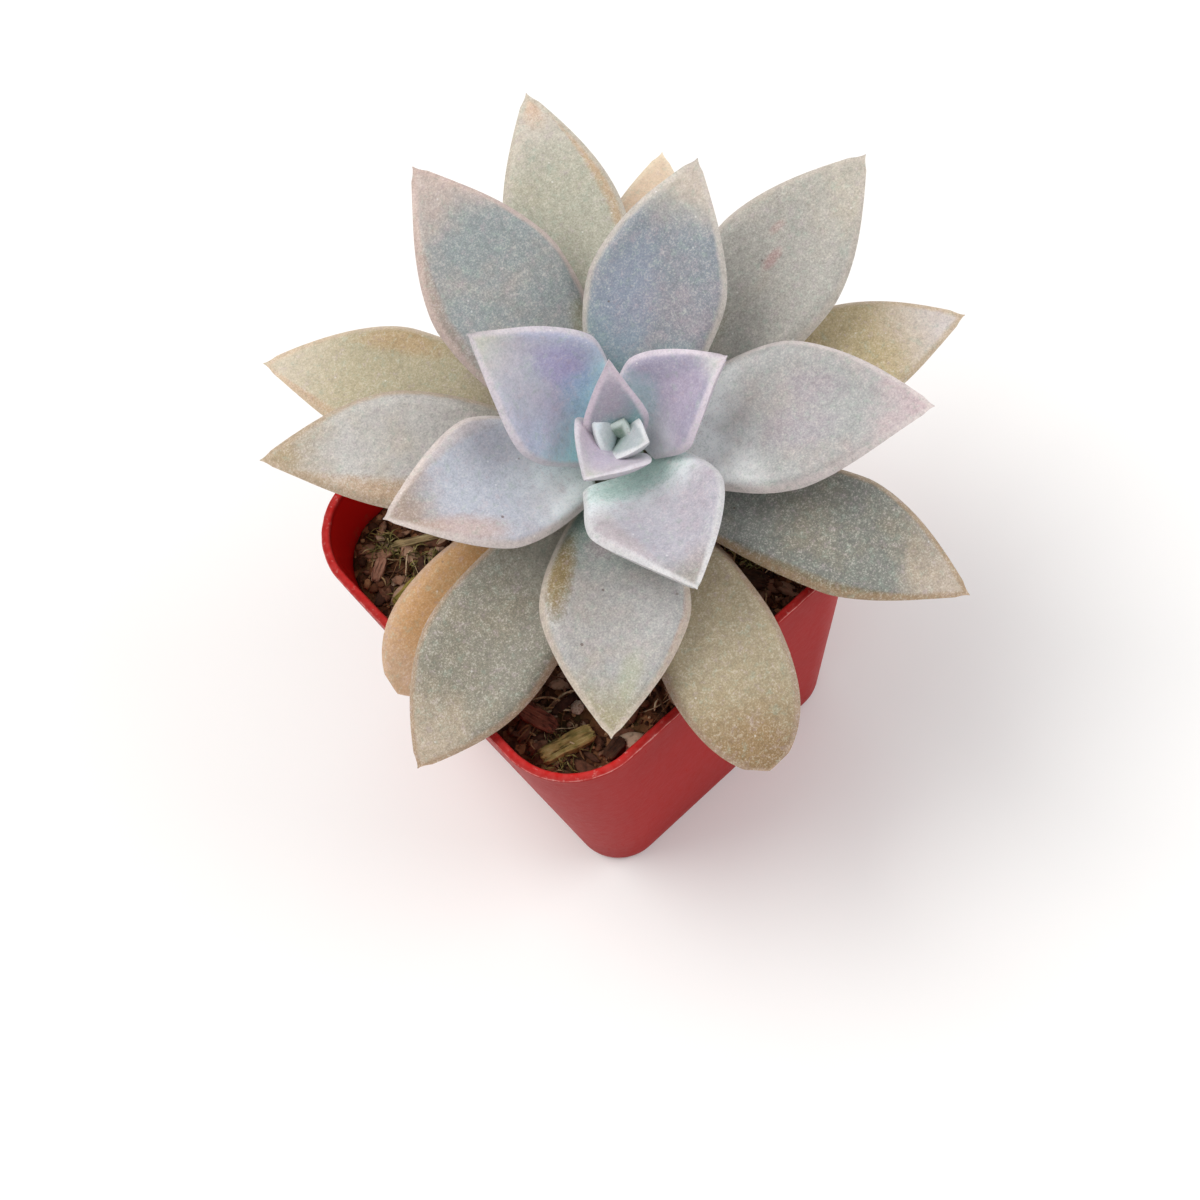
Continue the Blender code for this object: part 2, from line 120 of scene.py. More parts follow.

# The same leaves' skins: base, middle, tip and margin colours, then how sandy the speckle is
# and how strong the pink or tan clouds are. The colours were matched with the rosette's own shade
# in them, so they carry painted light and shade: the near-white colours are painted light lifting
# shaded leaf bases, some dark bases hold painted shade, and the pale margins are partly painted light.
LEAF_SKINS = [
    ("#9f8061", "#be8f5a", "#ba9676", "#bf9d80", 0.45, 0.30),
    ("#d2b292", "#d7b99d", "#d4bda4", "#dccab0", 0.35, 0.20),
    ("#7d6d59", "#a6977a", "#8f734e", "#a48971", 0.80, 0.35),
    ("#a99a8a", "#b4a98a", "#c0b39c", "#cab296", 0.75, 0.45),
    ("#968f76", "#b3a17a", "#c6bcb8", "#baa386", 0.80, 0.55),
    ("#c8c3b4", "#847f70", "#b5a591", "#a88b6f", 1.00, 0.25),
    ("#aba396", "#a8a593", "#c2b9ad", "#bcb2a2", 0.80, 0.25),
    ("#848784", "#76776f", "#b4a493", "#a18564", 0.90, 0.30),
    ("#928b7a", "#b6b2ad", "#9f8a69", "#ae977d", 0.85, 0.35),
    ("#a39f99", "#a39f97", "#b3ada1", "#bbb0a4", 0.80, 0.35),
    ("#7e938a", "#a19f9d", "#9e9476", "#bfb0a0", 0.75, 0.35),
    ("#aaabac", "#8b9292", "#b9a89f", "#c1aaa0", 0.75, 0.45),
    ("#f5f7f7", "#a1a19f", "#c1adaf", "#ccc0bd", 0.70, 0.45),
    ("#f0f7f7", "#afb2bc", "#998979", "#d0c2bb", 0.60, 0.40),
    ("#8daead", "#848b92", "#beb4a3", "#c4baaf", 0.70, 0.40),
    ("#f0f7f7", "#adaab3", "#938e87", "#d2d0d0", 0.55, 0.45),
    ("#bcecf3", "#a3a5bb", "#bbb8a7", "#ccc2c8", 0.45, 0.50),
    ("#d2d0d6", "#a099ad", "#c7c6c3", "#d2c6ce", 0.40, 0.60),
    ("#b7bcbb", "#b8b0b9", "#c1bfb6", "#d8d2d8", 0.25, 0.60),
    ("#72a2a1", "#7d949d", "#f7f7f7", "#d6c4d0", 0.30, 0.70),
    ("#98a9a5", "#a9b1b4", "#abaeaa", "#dcdcde", 0.15, 0.30),
    ("#b6c5c9", "#adb7b8", "#c9dae0", "#d4d8da", 0.15, 0.20),
    ("#82998c", "#768d7d", "#93a99b", "#ccd6d2", 0.10, 0.10),
]

# Marks on single leaves: place along and across, size along and across, colour, strength
LEAF_MARKS = {
    4: [(0.62, -0.74, 0.13, 0.20, "#b98f58", 0.55),
        (0.88, 0.84, 0.14, 0.14, "#bd8a62", 0.50),
        (0.30, 0.30, 0.14, 0.50, "#a08d5c", 0.45)],
    5: [(0.42, 0.10, 0.14, 0.70, "#8c7a45", 0.50)],
    7: [(0.30, 0.55, 0.16, 0.40, "#9c9575", 0.50),
        (0.74, -0.86, 0.24, 0.14, "#c39a70", 0.60),
        (0.98, 0.00, 0.08, 0.70, "#cfa582", 0.55)],
    8: [(0.58, -0.92, 0.30, 0.12, "#8a7040", 0.60)],
    9: [(0.60, 0.78, 0.26, 0.28, "#b5874e", 0.60)],
    10: [(0.62, 0.10, 0.04, 0.08, "#ad8580", 0.60),
         (0.70, 0.36, 0.03, 0.07, "#b3918a", 0.50),
         (0.30, 0.40, 0.16, 0.40, "#8f8c62", 0.45)],
    11: [(0.40, -0.78, 0.17, 0.20, "#87703c", 0.90),
         (0.64, 0.96, 0.24, 0.07, "#b5806a", 0.60),
         (0.26, -0.20, 0.06, 0.30, "#a59096", 0.55),
         (0.78, 0.35, 0.10, 0.25, "#a3a87c", 0.35)],
    12: [(0.62, 0.90, 0.32, 0.12, "#a88874", 0.50),
         (0.30, -0.80, 0.10, 0.24, "#8f8450", 0.50)],
    13: [(0.55, -0.20, 0.14, 0.30, "#9e8f9c", 0.40),
         (0.62, 0.35, 0.10, 0.26, "#a594a0", 0.40)],
    14: [(0.70, 0.70, 0.18, 0.30, "#c9a088", 0.50),
         (0.72, -0.85, 0.30, 0.16, "#c4a184", 0.30)],
    15: [(0.45, 0.40, 0.24, 0.45, "#9aa3bd", 0.35)],
    16: [(0.55, -0.75, 0.25, 0.22, "#bfa69c", 0.30),
         (0.13, 0.10, 0.13, 1.20, "#a3ccbd", 0.65)],
    17: [(0.70, 0.20, 0.26, 0.90, "#b9babb", 0.50),
         (0.48, -0.42, 0.18, 0.30, "#a294c4", 0.50),
         (0.26, -0.30, 0.15, 0.40, "#90b2cc", 0.55)],
    18: [(0.58, -0.10, 0.24, 0.50, "#b8a6ba", 0.40),
         (0.26, 0.45, 0.20, 0.50, "#93bfc2", 0.45)],
    19: [(0.45, 0.00, 0.28, 0.60, "#b6a6c6", 0.35)],
    20: [(0.72, 0.00, 0.34, 0.90, "#bda3b6", 0.55)],
}

# Lumps of soil mix: what they are, how many share of the whole, then longest and
# shortest size in mm, flatness, and the range of the colour ramp they take
MIX = [
    ("soil_crumbs_dark", 0.46, 1.7, 0.5, 0.75, 0.00, 0.42),
    ("soil_crumbs_brown", 0.32, 1.5, 0.5, 0.70, 0.30, 0.72),
    ("soil_crumbs_pale", 0.10, 1.3, 0.4, 0.75, 0.70, 1.00),
]
# Where tufts of moss fibres lie, as shares of the soil's half width, and how wide in mm
MOSS_TUFTS = [
    (-0.66, 0.58, 4.5), (-0.86, 0.40, 3.5), (-0.86, -0.70, 3.0), (-0.74, 0.80, 2.8), (0.60, -0.62, 4.0),
]


# ---- settings ----------------------------------------------------------------


def rgb(code):
    """A hex colour as linear red, green and blue."""
    parts = [int(code[i:i + 2], 16) / 255 for i in (1, 3, 5)]
    return tuple(c / 12.92 if c <= 0.04045 else ((c + 0.055) / 1.055) ** 2.4 for c in parts)


def number(name, description, default, **limits):
    return FloatProperty(name=name, description=description, default=default, **limits)


def length(name, description, default):
    return number(name, description, default, min=0, unit="LENGTH", precision=4)


def share(name, description, default):
    return number(name, description, default, min=0, max=1, subtype="FACTOR")


def angle(name, description, degrees):
    return number(name, description, math.radians(degrees), subtype="ANGLE")


def count(name, description, default):
    return IntProperty(name=name, description=description, default=default, min=0)


def colour(name, description, code):
    return FloatVectorProperty(
        name=name, description=description, default=rgb(code), min=0, max=1, subtype="COLOR")


class PotSettings(bpy.types.PropertyGroup):
    rim_width: length("Rim width", "Outside width of the pot at its rim", POT_HIGH.x - POT_LOW.x)
    foot_width: length("Foot width", "Outside width of the pot at its foot", 47 * MM)
    height: length("Height", "Height of the pot", POT_HIGH.z)
    wall: length("Wall", "Thickness of the plastic", 1.2 * MM)
    rim_corner: length("Rim corner", "Outside radius of a corner at the rim", 11.2 * MM)
    foot_corner: length("Foot corner", "Outside radius of a corner at the foot", 7 * MM)
    foot_round: length("Foot rounding", "Rounding between the sides and the base", 1 * MM)
    drain_radius: length("Drain hole radius", "Radius of each of the four drain holes", 3 * MM)
    drain_inset: length("Drain hole inset", "From a drain hole's middle to the foot's sides", 13.16 * MM)
    nicks: length("Rim nicks", "Depth of the dents along the worn rim", 0.22 * MM)
    plastic: colour("Plastic", "Colour of the pot", "#a01210")
    # This colour paints the real scuffs, and also the painted light on the rim's top.
    scuffs_and_rim_light: colour("Scuffs", "Colour of rubbed and nicked plastic", "#d8706c")
    dust: colour("Dust", "Colour of the dry soil dust on the walls", "#8a5f4c")
    roughness: share("Roughness", "How matt the plastic is", 0.36)


class SoilSettings(bpy.types.PropertyGroup):
    top: length("Soil height", "Height of the soil's surface above the ground", 45.5 * MM)
    relief: length("Relief", "Height of the broad lumps", 0.8 * MM)
    grain: length("Grain", "Height of the fine crumbs in the surface", 0.35 * MM)
    crumbs: count("Crumbs", "Number of loose crumbs", 2600)
    flakes: count("Flakes", "Number of small bark flakes", 620)
    fibres: count("Fibres", "Number of loose root and coir fibres", 620)
    moss: count("Moss", "Number of moss strands in each tuft", 60)
    dark: colour("Dark", "Colour of wet peat", "#3e2416")
    middle: colour("Middle", "Colour of old bark", "#986a48")
    pale: colour("Pale", "Colour of dry grains and fibres", "#d2b48e")
    moss_green: colour("Moss", "Colour of the moss fibres", "#7c7440")


class PlantSettings(bpy.types.PropertyGroup):
    millimetre: length("Leaf table unit", "Size of the leaf table's millimetre", 1 * MM)
    lean: angle("Lean", "Angle between the rosette's axis and upright", 14)
    lean_toward: angle("Lean toward", "Direction of the lean, measured from -Y toward -X", -16)
    fatness: number("Leaf fatness", "Scales every leaf's thickness", 1, min=0.2, max=2)
    stem_radius: length("Stem radius", "Radius of the stem below the leaves", 3.8 * MM)
    dents: length("Dents", "Depth of the soft dents and swellings in a leaf", 0.16 * MM)
    mucro: length("Leaf point", "Length of the small hard point at a leaf's tip", 0.25 * MM)
    tip_rounding: share("Tip rounding", "Share of a leaf's length that its rounded tip takes", 0.03)
    bevel: length("Bevel", "Width of the rounded edge of a leaf's upper face", 0.85 * MM)
    # The paler margin is partly the leaf's own pale edge and partly painted light on the rounded edge.
    margin: length("Margin", "Width of the paler margin round a leaf", 1.15 * MM)
    blush: colour("Blush", "Pink and lavender clouds on the young leaves", "#c3a3b4")
    tan: colour("Tan", "Ageing clouds on the old leaves", "#b3986a")
    grit: colour("Speckle", "Pale waxy grains of the speckle", "#ece6da")
    rosy: colour("Rosy mottle", "Pinkish side of the fine mottling", "#b9a5ab")
    minty: colour("Minty mottle", "Greenish side of the fine mottling", "#9cb0a0")
    specks: colour("Specks", "Small dark marks", "#5d4a42")
    bark: colour("Stem", "Colour of the stem", "#6f6238")
    shoot: colour("Shoot", "Colour of the growing tip between the youngest leaves", "#9dbcb0")


class StageSettings(bpy.types.PropertyGroup):
    azimuth: angle("Azimuth", "Camera's direction round the pot", -26.9)
    elevation: angle("Elevation", "Camera's angle above the horizon", 65.3)
    roll: angle("Roll", "Camera's turn about its own axis", -16.7)
    lens: number("Lens", "Focal length", 53.13, unit="CAMERA")
    place: FloatVectorProperty(name="Place", description="Where the camera stands",
                               default=(-49.1 * MM, -95.3 * MM, 263.5 * MM), subtype="TRANSLATION")
    floor: colour("Floor", "Colour of the floor", "#f4f3f1")
    sky: number("Sky", "Strength of the even light from all round", 0.62, min=0)
    key: number("Key light", "Power of the large light overhead", 4.2, min=0, unit="POWER")
    fill: number("Fill light", "Power of the light from the far side", 1.6, min=0, unit="POWER")


class SucculentSettings(bpy.types.PropertyGroup):
    pot: PointerProperty(type=PotSettings, name="Pot", description="Sizes and colours of the pot")
    soil: PointerProperty(type=SoilSettings, name="Soil", description="Sizes and colours of the soil")
    plant: PointerProperty(type=PlantSettings, name="Plant", description="Sizes and colours of the rosette")
    stage: PointerProperty(type=StageSettings, name="Stage", description="Camera, floor and light")


# ---- materials ---------------------------------------------------------------


def both_ways(operation):
    """An operator and its reflected form, each of which adds a Math node."""
    def straight(wire, other):
        return wire.look.node("Math", {"operation": operation}, {0: wire, 1: other})

    def reflected(wire, other):
        return wire.look.node("Math", {"operation": operation}, {0: other, 1: wire})

    return straight, reflected


class Wire:
    """One output of a shader node, for use in arithmetic."""

    __add__, __radd__ = both_ways("ADD")
    __sub__, __rsub__ = both_ways("SUBTRACT")
    __mul__, __rmul__ = both_ways("MULTIPLY")
    __truediv__, __rtruediv__ = both_ways("DIVIDE")
    __pow__, __rpow__ = both_ways("POWER")

    def __init__(self, look, socket):
        self.look = look
        self.socket = socket

    def step(self, low, high):
        """0 up to low and 1 from high on, smooth between them; high may be the lower."""
        inputs = {"Value": self, "From Min": low, "From Max": high}
        return self.look.node("MapRange", {"interpolation_type": "SMOOTHSTEP"}, inputs)


class Look:
    """A material whose shader is fed by nodes written as expressions. Its base colour is
    built up in layers."""

    def __init__(self, name, roughness, **constants):
        self.material = bpy.data.materials.new(name)
        self.material.use_nodes = True
        self.tree = self.material.node_tree
        self.shader = self.tree.nodes["Principled BSDF"]
        self.shader.inputs["Roughness"].default_value = roughness
        for key, value in constants.items():
            self.shader.inputs[key.replace("_", " ").title().replace("Ior", "IOR")].default_value = value
        metres = self.node("TexCoord", output="Object")
        self.here = self.node("VectorMath", {"operation": "SCALE"}, {0: metres, "Scale": 1 / MM})

    def node(self, kind, settings=None, inputs=None, output=0):
        made = self.tree.nodes.new("ShaderNode" + kind)
        for key, value in (settings or {}).items():
            if key == "stops":
                self.set_stops(made.color_ramp, value)
            else:
                setattr(made, key, value)
        for key, value in (inputs or {}).items():
            if isinstance(value, Wire):
                self.tree.links.new(value.socket, made.inputs[key])
            else:
                made.inputs[key].default_value = value
        return Wire(self, made.outputs[output])

    @staticmethod
    def full(value):
        """A wire as it is; a hex code or a colour with its alpha."""
        if isinstance(value, Wire):
            return value
        return (*(rgb(value) if isinstance(value, str) else value), 1)

    def set_stops(self, ramp, stops):
        ramp.interpolation = "EASE"
        while len(ramp.elements) < len(stops):
            ramp.elements.new(0.5)
        for element, (place, value) in zip(ramp.elements, stops):
            element.position = place
            element.color = self.full(value)

    def noise(self, size, detail=2.0, rough=0.5, twist=0.0, place=None):
        """0 to 1 noise whose lumps are about this many millimetres across."""
        return self.node("TexNoise", {}, {"Vector": place or self.here, "Scale": 1 / size, "Detail": detail,
                                          "Roughness": rough, "Distortion": twist})

    def cells(self, size, output="Distance"):
        return self.node("TexVoronoi", {}, {"Vector": self.here, "Scale": 1 / size}, output)

    def cell_value(self, size):
        """A random 0 to 1 value for each cell."""
        return self.node("SeparateColor", {}, {0: self.cells(size, "Color")})

    def drawn(self, factors, place=None):
        """The place with its axes scaled, which draws noise out along the small ones."""
        return self.node("VectorMath", {"operation": "MULTIPLY"}, {0: place or self.here, 1: factors})

    def stored(self, name, output="Fac"):
        """A value kept at the mesh's points."""
        return self.node("Attribute", {"attribute_name": name}, output=output)

    def ramp(self, value, *stops):
        return self.node("ValToRGB", {"stops": stops}, {0: value})

    def shade(self, one, value):
        """The colour made lighter or darker, by a value round 1."""
        return self.node("VectorMath", {"operation": "SCALE"}, {0: one, "Scale": value})

    def over(self, mask, tint, blend="MIX"):
        """Lays this tint over the base where the mask is 1."""
        settings = {"data_type": "RGBA", "blend_type": blend, "clamp_result": True}
        self.base = self.node("Mix", settings, {0: mask, 6: self.base, 7: self.full(tint)}, 2)

    def finish(self, roughness, height=None, depth=0.0):
        """Feeds the shader. A height of 0 to 1 stands this deep, in metres."""
        fed = {"Base Color": self.base, "Roughness": roughness}
        if height:
            fed["Normal"] = self.node("Bump", {}, {"Height": height, "Distance": depth, "Strength": 1.0})
        for name, wire in fed.items():
            self.tree.links.new(wire.socket, self.shader.inputs[name])
        return self.material


def pot_look(pot):
    look = Look("pot_plastic", pot.roughness, specular_ior_level=0.02)
    lip, inside, height = (look.stored(name) for name in ("lip", "inside", "height"))
    cloud, fine = look.noise(16, 3), look.noise(1.1, 5, 0.6)
    scratch = look.noise(0.5, 3, 0.7, place=look.drawn((1.0, 1.0, 0.07)))
    rubbed = scratch.step(0.62, 0.74) * look.noise(7, 2).step(0.48, 0.66) * (1 - inside)
    # The rim's top is painted lighter, broken up by noise: painted light on its upward face.
    painted_rim_light = (lip + 0.55 * (fine - 0.5)).step(0.50, 1.05)
    chipped = lip.step(0.5, 0.9) * look.noise(0.9, 4, 0.65).step(0.58, 0.70)
    settled = 0.12 * (1 - height) + 0.5 * inside * height.step(0.93, 0.80)
    dusty = look.noise(2.4, 6, 0.7).step(0.50, 0.78) * settled

    # Inside the pot the plastic is painted up to 2.3 times lighter: painted light in the pot's shaded inside.
    look.base = look.shade(pot.plastic, (0.86 + 0.24 * cloud) * (1 + 1.3 * inside * (1 - lip)))
    look.over(0.14 * rubbed, pot.scuffs_and_rim_light)
    look.over(0.38 * painted_rim_light, pot.scuffs_and_rim_light)
    # A broken pale line along the rim's outer edge: painted highlight.
    look.over(0.55 * lip.step(0.84, 1.0) * fine.step(0.38, 0.60), RIM_HIGHLIGHT_AND_CHIP_PINK)
    look.over(0.40 * chipped, RIM_HIGHLIGHT_AND_CHIP_PINK)
    look.over(dusty, pot.dust)
    gloss = pot.roughness + 0.16 * (fine - 0.5) + 0.22 * rubbed + 0.25 * painted_rim_light + 0.5 * dusty
    relief = 0.55 * look.noise(0.35, 3) + 0.45 * scratch * (1 - inside) + 1.2 * chipped
    return look.finish(gloss, relief, 0.03 * MM)


def soil_look(soil):
    look = Look("soil_mix", 0.95, specular_ior_level=0.25)
    tone = 0.62 * look.cell_value(0.9) + 0.5 * look.noise(3.5, 4) - 0.16
    look.base = look.ramp(tone, (0.1, soil.dark), (0.48, "#664029"), (0.74, soil.middle), (0.97, soil.pale))
    look.over(0.5 * look.noise(6, 3).step(0.56, 0.74), "#544c28")
    relief = look.cells(0.55) + 0.8 * look.noise(0.3, 4)
    return look.finish(0.82 + 0.16 * look.noise(1.0), relief, 0.12 * MM)


def litter_look(name, stops, grain=0.35, depth=0.05):
    """Loose bits whose stored tint picks a colour from the stops."""
    look = Look(name, 0.85, specular_ior_level=0.3)
    fine = look.noise(grain, 5, 0.65)
    look.base = look.ramp(look.stored("tint") + 0.42 * (fine - 0.5), *stops)
    look.over(0.55 * look.noise(0.9, 3).step(0.50, 0.72), "#2e1a10", "MULTIPLY")
    return look.finish(0.74 + 0.24 * fine, fine, depth * MM)


def bark_look(name, dark, middle, pale, moss=0.0, cracks=0.45, streak=7.0):
    """Wood or bark, streaked along the grain that the mesh stores."""
    look = Look(name, 0.86, specular_ior_level=0.3)
    grain = look.drawn((1 / streak, 1, 1), look.stored("grain", "Vector"))
    lines = look.noise(0.32, 6, 0.62, 0.4, grain)
    patch = look.noise(1.6, 4)
    cracked = look.noise(0.55, 3, 0.6, place=grain).step(0.43, 0.33)
    look.base = look.ramp(0.62 * lines + 0.55 * patch - 0.09, (0.30, dark), (0.52, middle), (0.74, pale))
    look.over(cracks * cracked, "#140b07")
    look.over(moss * look.noise(1.2, 4).step(0.46, 0.62), "#5d6420")
    return look.finish(0.72 + 0.25 * lines, lines + 0.5 * patch - 1.2 * cracked, 0.14 * MM)


def stone_look():
    look = Look("perlite_grain", 0.9)
    cells, cloud = look.cells(0.28), look.noise(0.8, 4)
    look.base = look.ramp(0.6 * cloud + 0.4 * cells, (0.25, "#7d6650"), (0.5, "#b5a692"), (0.75, "#e0d6c8"))
    return look.finish(0.75 + 0.2 * cloud, cells + cloud, 0.06 * MM)


def stem_look(plant):
    look = Look("stem_skin", 0.7)
    scars = look.noise(0.7, 4, place=look.drawn((0.25, 0.25, 1)))
    look.base = look.ramp(look.noise(1.8, 4), (0.3, "#3f331f"), (0.55, plant.bark), (0.8, "#9a8f68"))
    look.over(0.5 * scars.step(0.42, 0.30), "#2b2014")
    look.over(look.stored("shoot"), plant.shoot)
    return look.finish(0.6 + 0.2 * scars, scars, 0.15 * MM)


def floor_look(stage):
    look = Look("floor", 0.7, specular_ior_level=0.2)
    look.base = look.shade(stage.floor, 0.985 + 0.03 * look.noise(60, 3))
    return look.finish(0.62 + 0.16 * look.noise(4, 3))


def leaf_look(plant, index):
    """One leaf's skin: base, middle and tip colours run into each other, a paler
    rounded margin that is partly the leaf's own pale edge and partly painted light where the edge rounds
    over, clouds of blush or tan, sandy waxy speckle, and small marks."""
    root, middle, tip, rim, sand, clouds = LEAF_SKINS[index]
    look = Look(f"leaf_skin_{index + 1:02d}", 0.5, subsurface_weight=0.12, subsurface_scale=0.6 * MM,
                subsurface_radius=(1.0, 0.9, 0.7), sheen_weight=0.10, sheen_roughness=0.5)
    along, across, edge, under = (look.stored(name) for name in ("along", "across", "edge", "under"))
    drift, soft = look.noise(9, 3), look.noise(2.6, 4, 0.55)
    sandy, coarse = look.noise(0.24, 3, 0.75), look.noise(0.85, 4, 0.6)

    run = along + 0.22 * (drift - 0.5) + 0.10 * (soft - 0.5)
    look.base = look.ramp(run, (0.12, root), (0.48, middle), (0.72, middle), (0.95, tip))
    cloud = (drift + 0.5 * (soft - 0.5) + 0.35 * (sandy - 0.5)).step(0.42, 0.78)
    young = min(1.0, max(0.0, (index - 8) / 8))
    look.over(0.6 * clouds * cloud, [a + (b - a) * young for a, b in zip(plant.tan, plant.blush)])

    for a, c, long, wide, tint, strength in LEAF_MARKS.get(index + 1, ()):
        ragged = 1.1 * (soft - 0.5) + 1.0 * (coarse - 0.5) + 1.4 * (sandy - 0.5)
        away = ((along - a) / long) ** 2 + ((across - c) / wide) ** 2 + ragged
        look.over(strength * away.step(1.7, -0.1) * (1 - under), tint)

    # Paler margin round the leaf: partly the leaf's own pale edge, partly painted light on the rounded edge.
    width = plant.margin / MM
    look.over(0.82 * (edge + 0.7 * (soft - 0.5)).step(width, 0.35 * width), rim)
    # The underside is half mixed to the middle colour darkened to 0.88: painted shade under the leaf.
    look.over(0.5 * under, [0.88 * x for x in rgb(middle)])
    mottle = look.noise(1.1, 4, 0.75)
    look.over(0.30 * mottle.step(0.53, 0.68), plant.rosy)
    look.over(0.30 * mottle.step(0.47, 0.32), plant.minty)

    grains = sandy + 0.35 * (coarse - 0.5)
    look.over((0.08 + 0.24 * sand) * grains.step(0.52, 0.66), plant.grit)
    look.over((0.12 + 0.44 * sand) * grains.step(0.49, 0.37), look.shade(look.base, 0.55))
    look.base = look.shade(look.base, 0.92 + 0.20 * coarse)
    speck = look.cells(SPECK_SPACING).step(0.075, 0.045) * look.cell_value(SPECK_SPACING).step(0.74, 0.80)
    look.over(0.7 * speck, plant.specks)
    look.over(0.35 * look.cells(2.7).step(0.06, 0.035), WHITE_DUST)

    gloss = 0.46 + 0.20 * (coarse - 0.5) + 0.12 * (soft - 0.5) + 0.10 * sand * sandy
    relief = 0.55 * sandy + 0.45 * coarse - 0.8 * speck
    return look.finish(gloss, relief, (0.016 + 0.024 * sand) * MM)


# ---- meshes ------------------------------------------------------------------


def in_scene(name, data):
    obj = bpy.data.objects.new(name, data)
    bpy.context.scene.collection.objects.link(obj)
    return obj


def new_piece(name, points, faces, material, stands_for=(), stored=None):
    """A closed smooth mesh that rides on the model's one body."""
    mesh = bpy.data.meshes.new(name)
    mesh.from_pydata(np.asarray(points).tolist(), [], faces)
    for key, values in (stored or {}).items():
        values = np.asarray(values, np.float32)
        kind, field = ("FLOAT", "value") if values.ndim == 1 else ("FLOAT_VECTOR", "vector")
        mesh.attributes.new(key, kind, "POINT").data.foreach_set(field, values.ravel())
    mesh.shade_smooth()
    mesh.materials.append(material)
    obj = in_scene(name, mesh)
    face_out(mesh)
    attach(obj, BODY)
    if stands_for:
        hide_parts(*stands_for)
    return obj


def face_out(mesh):
    bm = bmesh.new()
    bm.from_mesh(mesh)
    bmesh.ops.recalc_face_normals(bm, faces=bm.faces)
    bm.to_mesh(mesh)
    bm.free()


def taken(bm):
    """The points and faces of a bmesh, which is freed."""
    points = np.array([v.co for v in bm.verts])
    faces = [[v.index for v in f.verts] for f in bm.faces]
    bm.free()
    return points, faces


def ball(subdivisions):
    bm = bmesh.new()
    bmesh.ops.create_icosphere(bm, subdivisions=subdivisions, radius=1)
    return taken(bm)


def block(cuts):
    """A cube from -1 to 1 with each edge cut this many times, for shaping."""
    bm = bmesh.new()
    bmesh.ops.create_cube(bm, size=2)
    bmesh.ops.subdivide_edges(bm, edges=bm.edges, cuts=cuts, use_grid_fill=True)
    return taken(bm)


def lofted(rings, ends):
    """Points and faces of a closed loft: quads between equal rings of points, and a fan
    to one point past each end."""
    count, around = rings.shape[:2]
    faces = []
    for i in range(count - 1):
        low, high = i * around, (i + 1) * around
        for j in range(around):
            k = (j + 1) % around
            faces.append((low + j, low + k, high + k, high + j))
    first, top = count * around, (count - 1) * around
    for j in range(around):
        k = (j + 1) % around
        faces.append((k, j, first))
        faces.append((top + j, top + k, first + 1))
    return np.vstack([rings.reshape(-1, 3), ends]), faces


def spokes(path, toward, sides):
    """A path's directions, and sides unit vectors square to it at each of its points."""
    way = np.gradient(path, axis=0)
    way /= np.linalg.norm(way, axis=1, keepdims=True)
    side = np.cross(way, toward)
    side /= np.linalg.norm(side, axis=1, keepdims=True)
    up = np.cross(side, way)
    turns = np.arange(sides) * math.tau / sides
    return way, np.cos(turns)[:, None] * side[:, None] + np.sin(turns)[:, None] * up[:, None]


def rippled(points, size, offset=0.0):
    """Smooth noise of about -1 to 1 at each of these points, with lumps this big."""
    flat = np.asarray(points).reshape(-1, 3) / size + offset
    values = [noise.noise(Vector(p)) for p in flat.tolist()]
    return np.array(values).reshape(np.asarray(points).shape[:-1])


# ---- pot ---------------------------------------------------------------------


def square_ring(half, radius, corner_steps, side_steps):
    """A rounded square round Z, as x and y, with closely spaced points."""
    ring = []
    straight = half - radius
    step = 2 * straight / side_steps
    for quarter, (sx, sy) in enumerate(SQUARE):
        for i in range(corner_steps + 1):
            a = math.pi / 2 * (quarter + i / corner_steps)
            ring.append((sx * straight + radius * math.cos(a), sy * straight + radius * math.sin(a)))
        x, y = ring[-1]
        dx, dy = ((-1, 0), (0, -1), (1, 0), (0, 1))[quarter]
        ring += [(x + dx * step * k, y + dy * step * k) for k in range(1, side_steps)]
    return np.array(ring)


class PotShape:
    """The pot's tapering rounded square."""

    def __init__(self, pot):
        self.pot = pot

    def half(self, z):
        pot = self.pot
        return (pot.foot_width + (pot.rim_width - pot.foot_width) * z / pot.height) / 2

    def radius(self, z):
        pot = self.pot
        return pot.foot_corner + (pot.rim_corner - pot.foot_corner) * z / pot.height

    def ring(self, z, inset, cuts=POT_CUTS):
        flat = square_ring(self.half(z) - inset, self.radius(z) - inset, **cuts)
        return np.column_stack([flat, np.full(len(flat), z)])


def pot_profile(pot):
    """Height, inset, lip share and inside share, from the middle of the base round the
    rim to the middle of the floor. The lip share sets how deep the rim's real nicks and chips go, and where
    the rim's top and outer edge are painted lighter, which is painted light."""
    quarter = [math.pi / 2 * k / 5 for k in range(6)]
    foot, wall, top = pot.foot_round, pot.wall, pot.height
    lip, inner = wall * 0.32, 1.6 * MM
    shoulder = top - lip
    neck, below = top - lip * 1.8, top - lip * 3
    rows = [(foot - foot * math.cos(a), foot - foot * math.sin(a), 0, 0) for a in quarter]
    rows += [(foot + (shoulder - foot) * k / 26, 0, 0, 0) for k in range(1, 26)]
    rows += [(below, 0, 0, 0), (neck, 0, 0.35, 0)]
    # Lip share round the rim: it sets the real nicks and chips, and the rim's painted light.
    wear_and_rim_light = (0.6, 0.72, 1.0, 0.85, 0.72, 0.72)
    rows += [(shoulder + lip * math.sin(a), lip - lip * math.cos(a), w, 0) for a, w in zip(quarter, wear_and_rim_light)]
    rows += [(top, wall / 2, 0.72, 0.5)]
    rows += [(shoulder + lip * math.cos(a), wall - lip + lip * math.sin(a), 0.72, 1) for a in quarter]
    rows += [(neck, wall, 0.35, 1), (below, wall, 0, 1)]
    floor = wall + inner
    rows += [(below - (below - floor) * k / 24, wall, 0, 1) for k in range(1, 25)]
    rows += [(floor - inner * math.sin(a), floor - inner * math.cos(a), 0, 1) for a in quarter[1:]]
    return rows


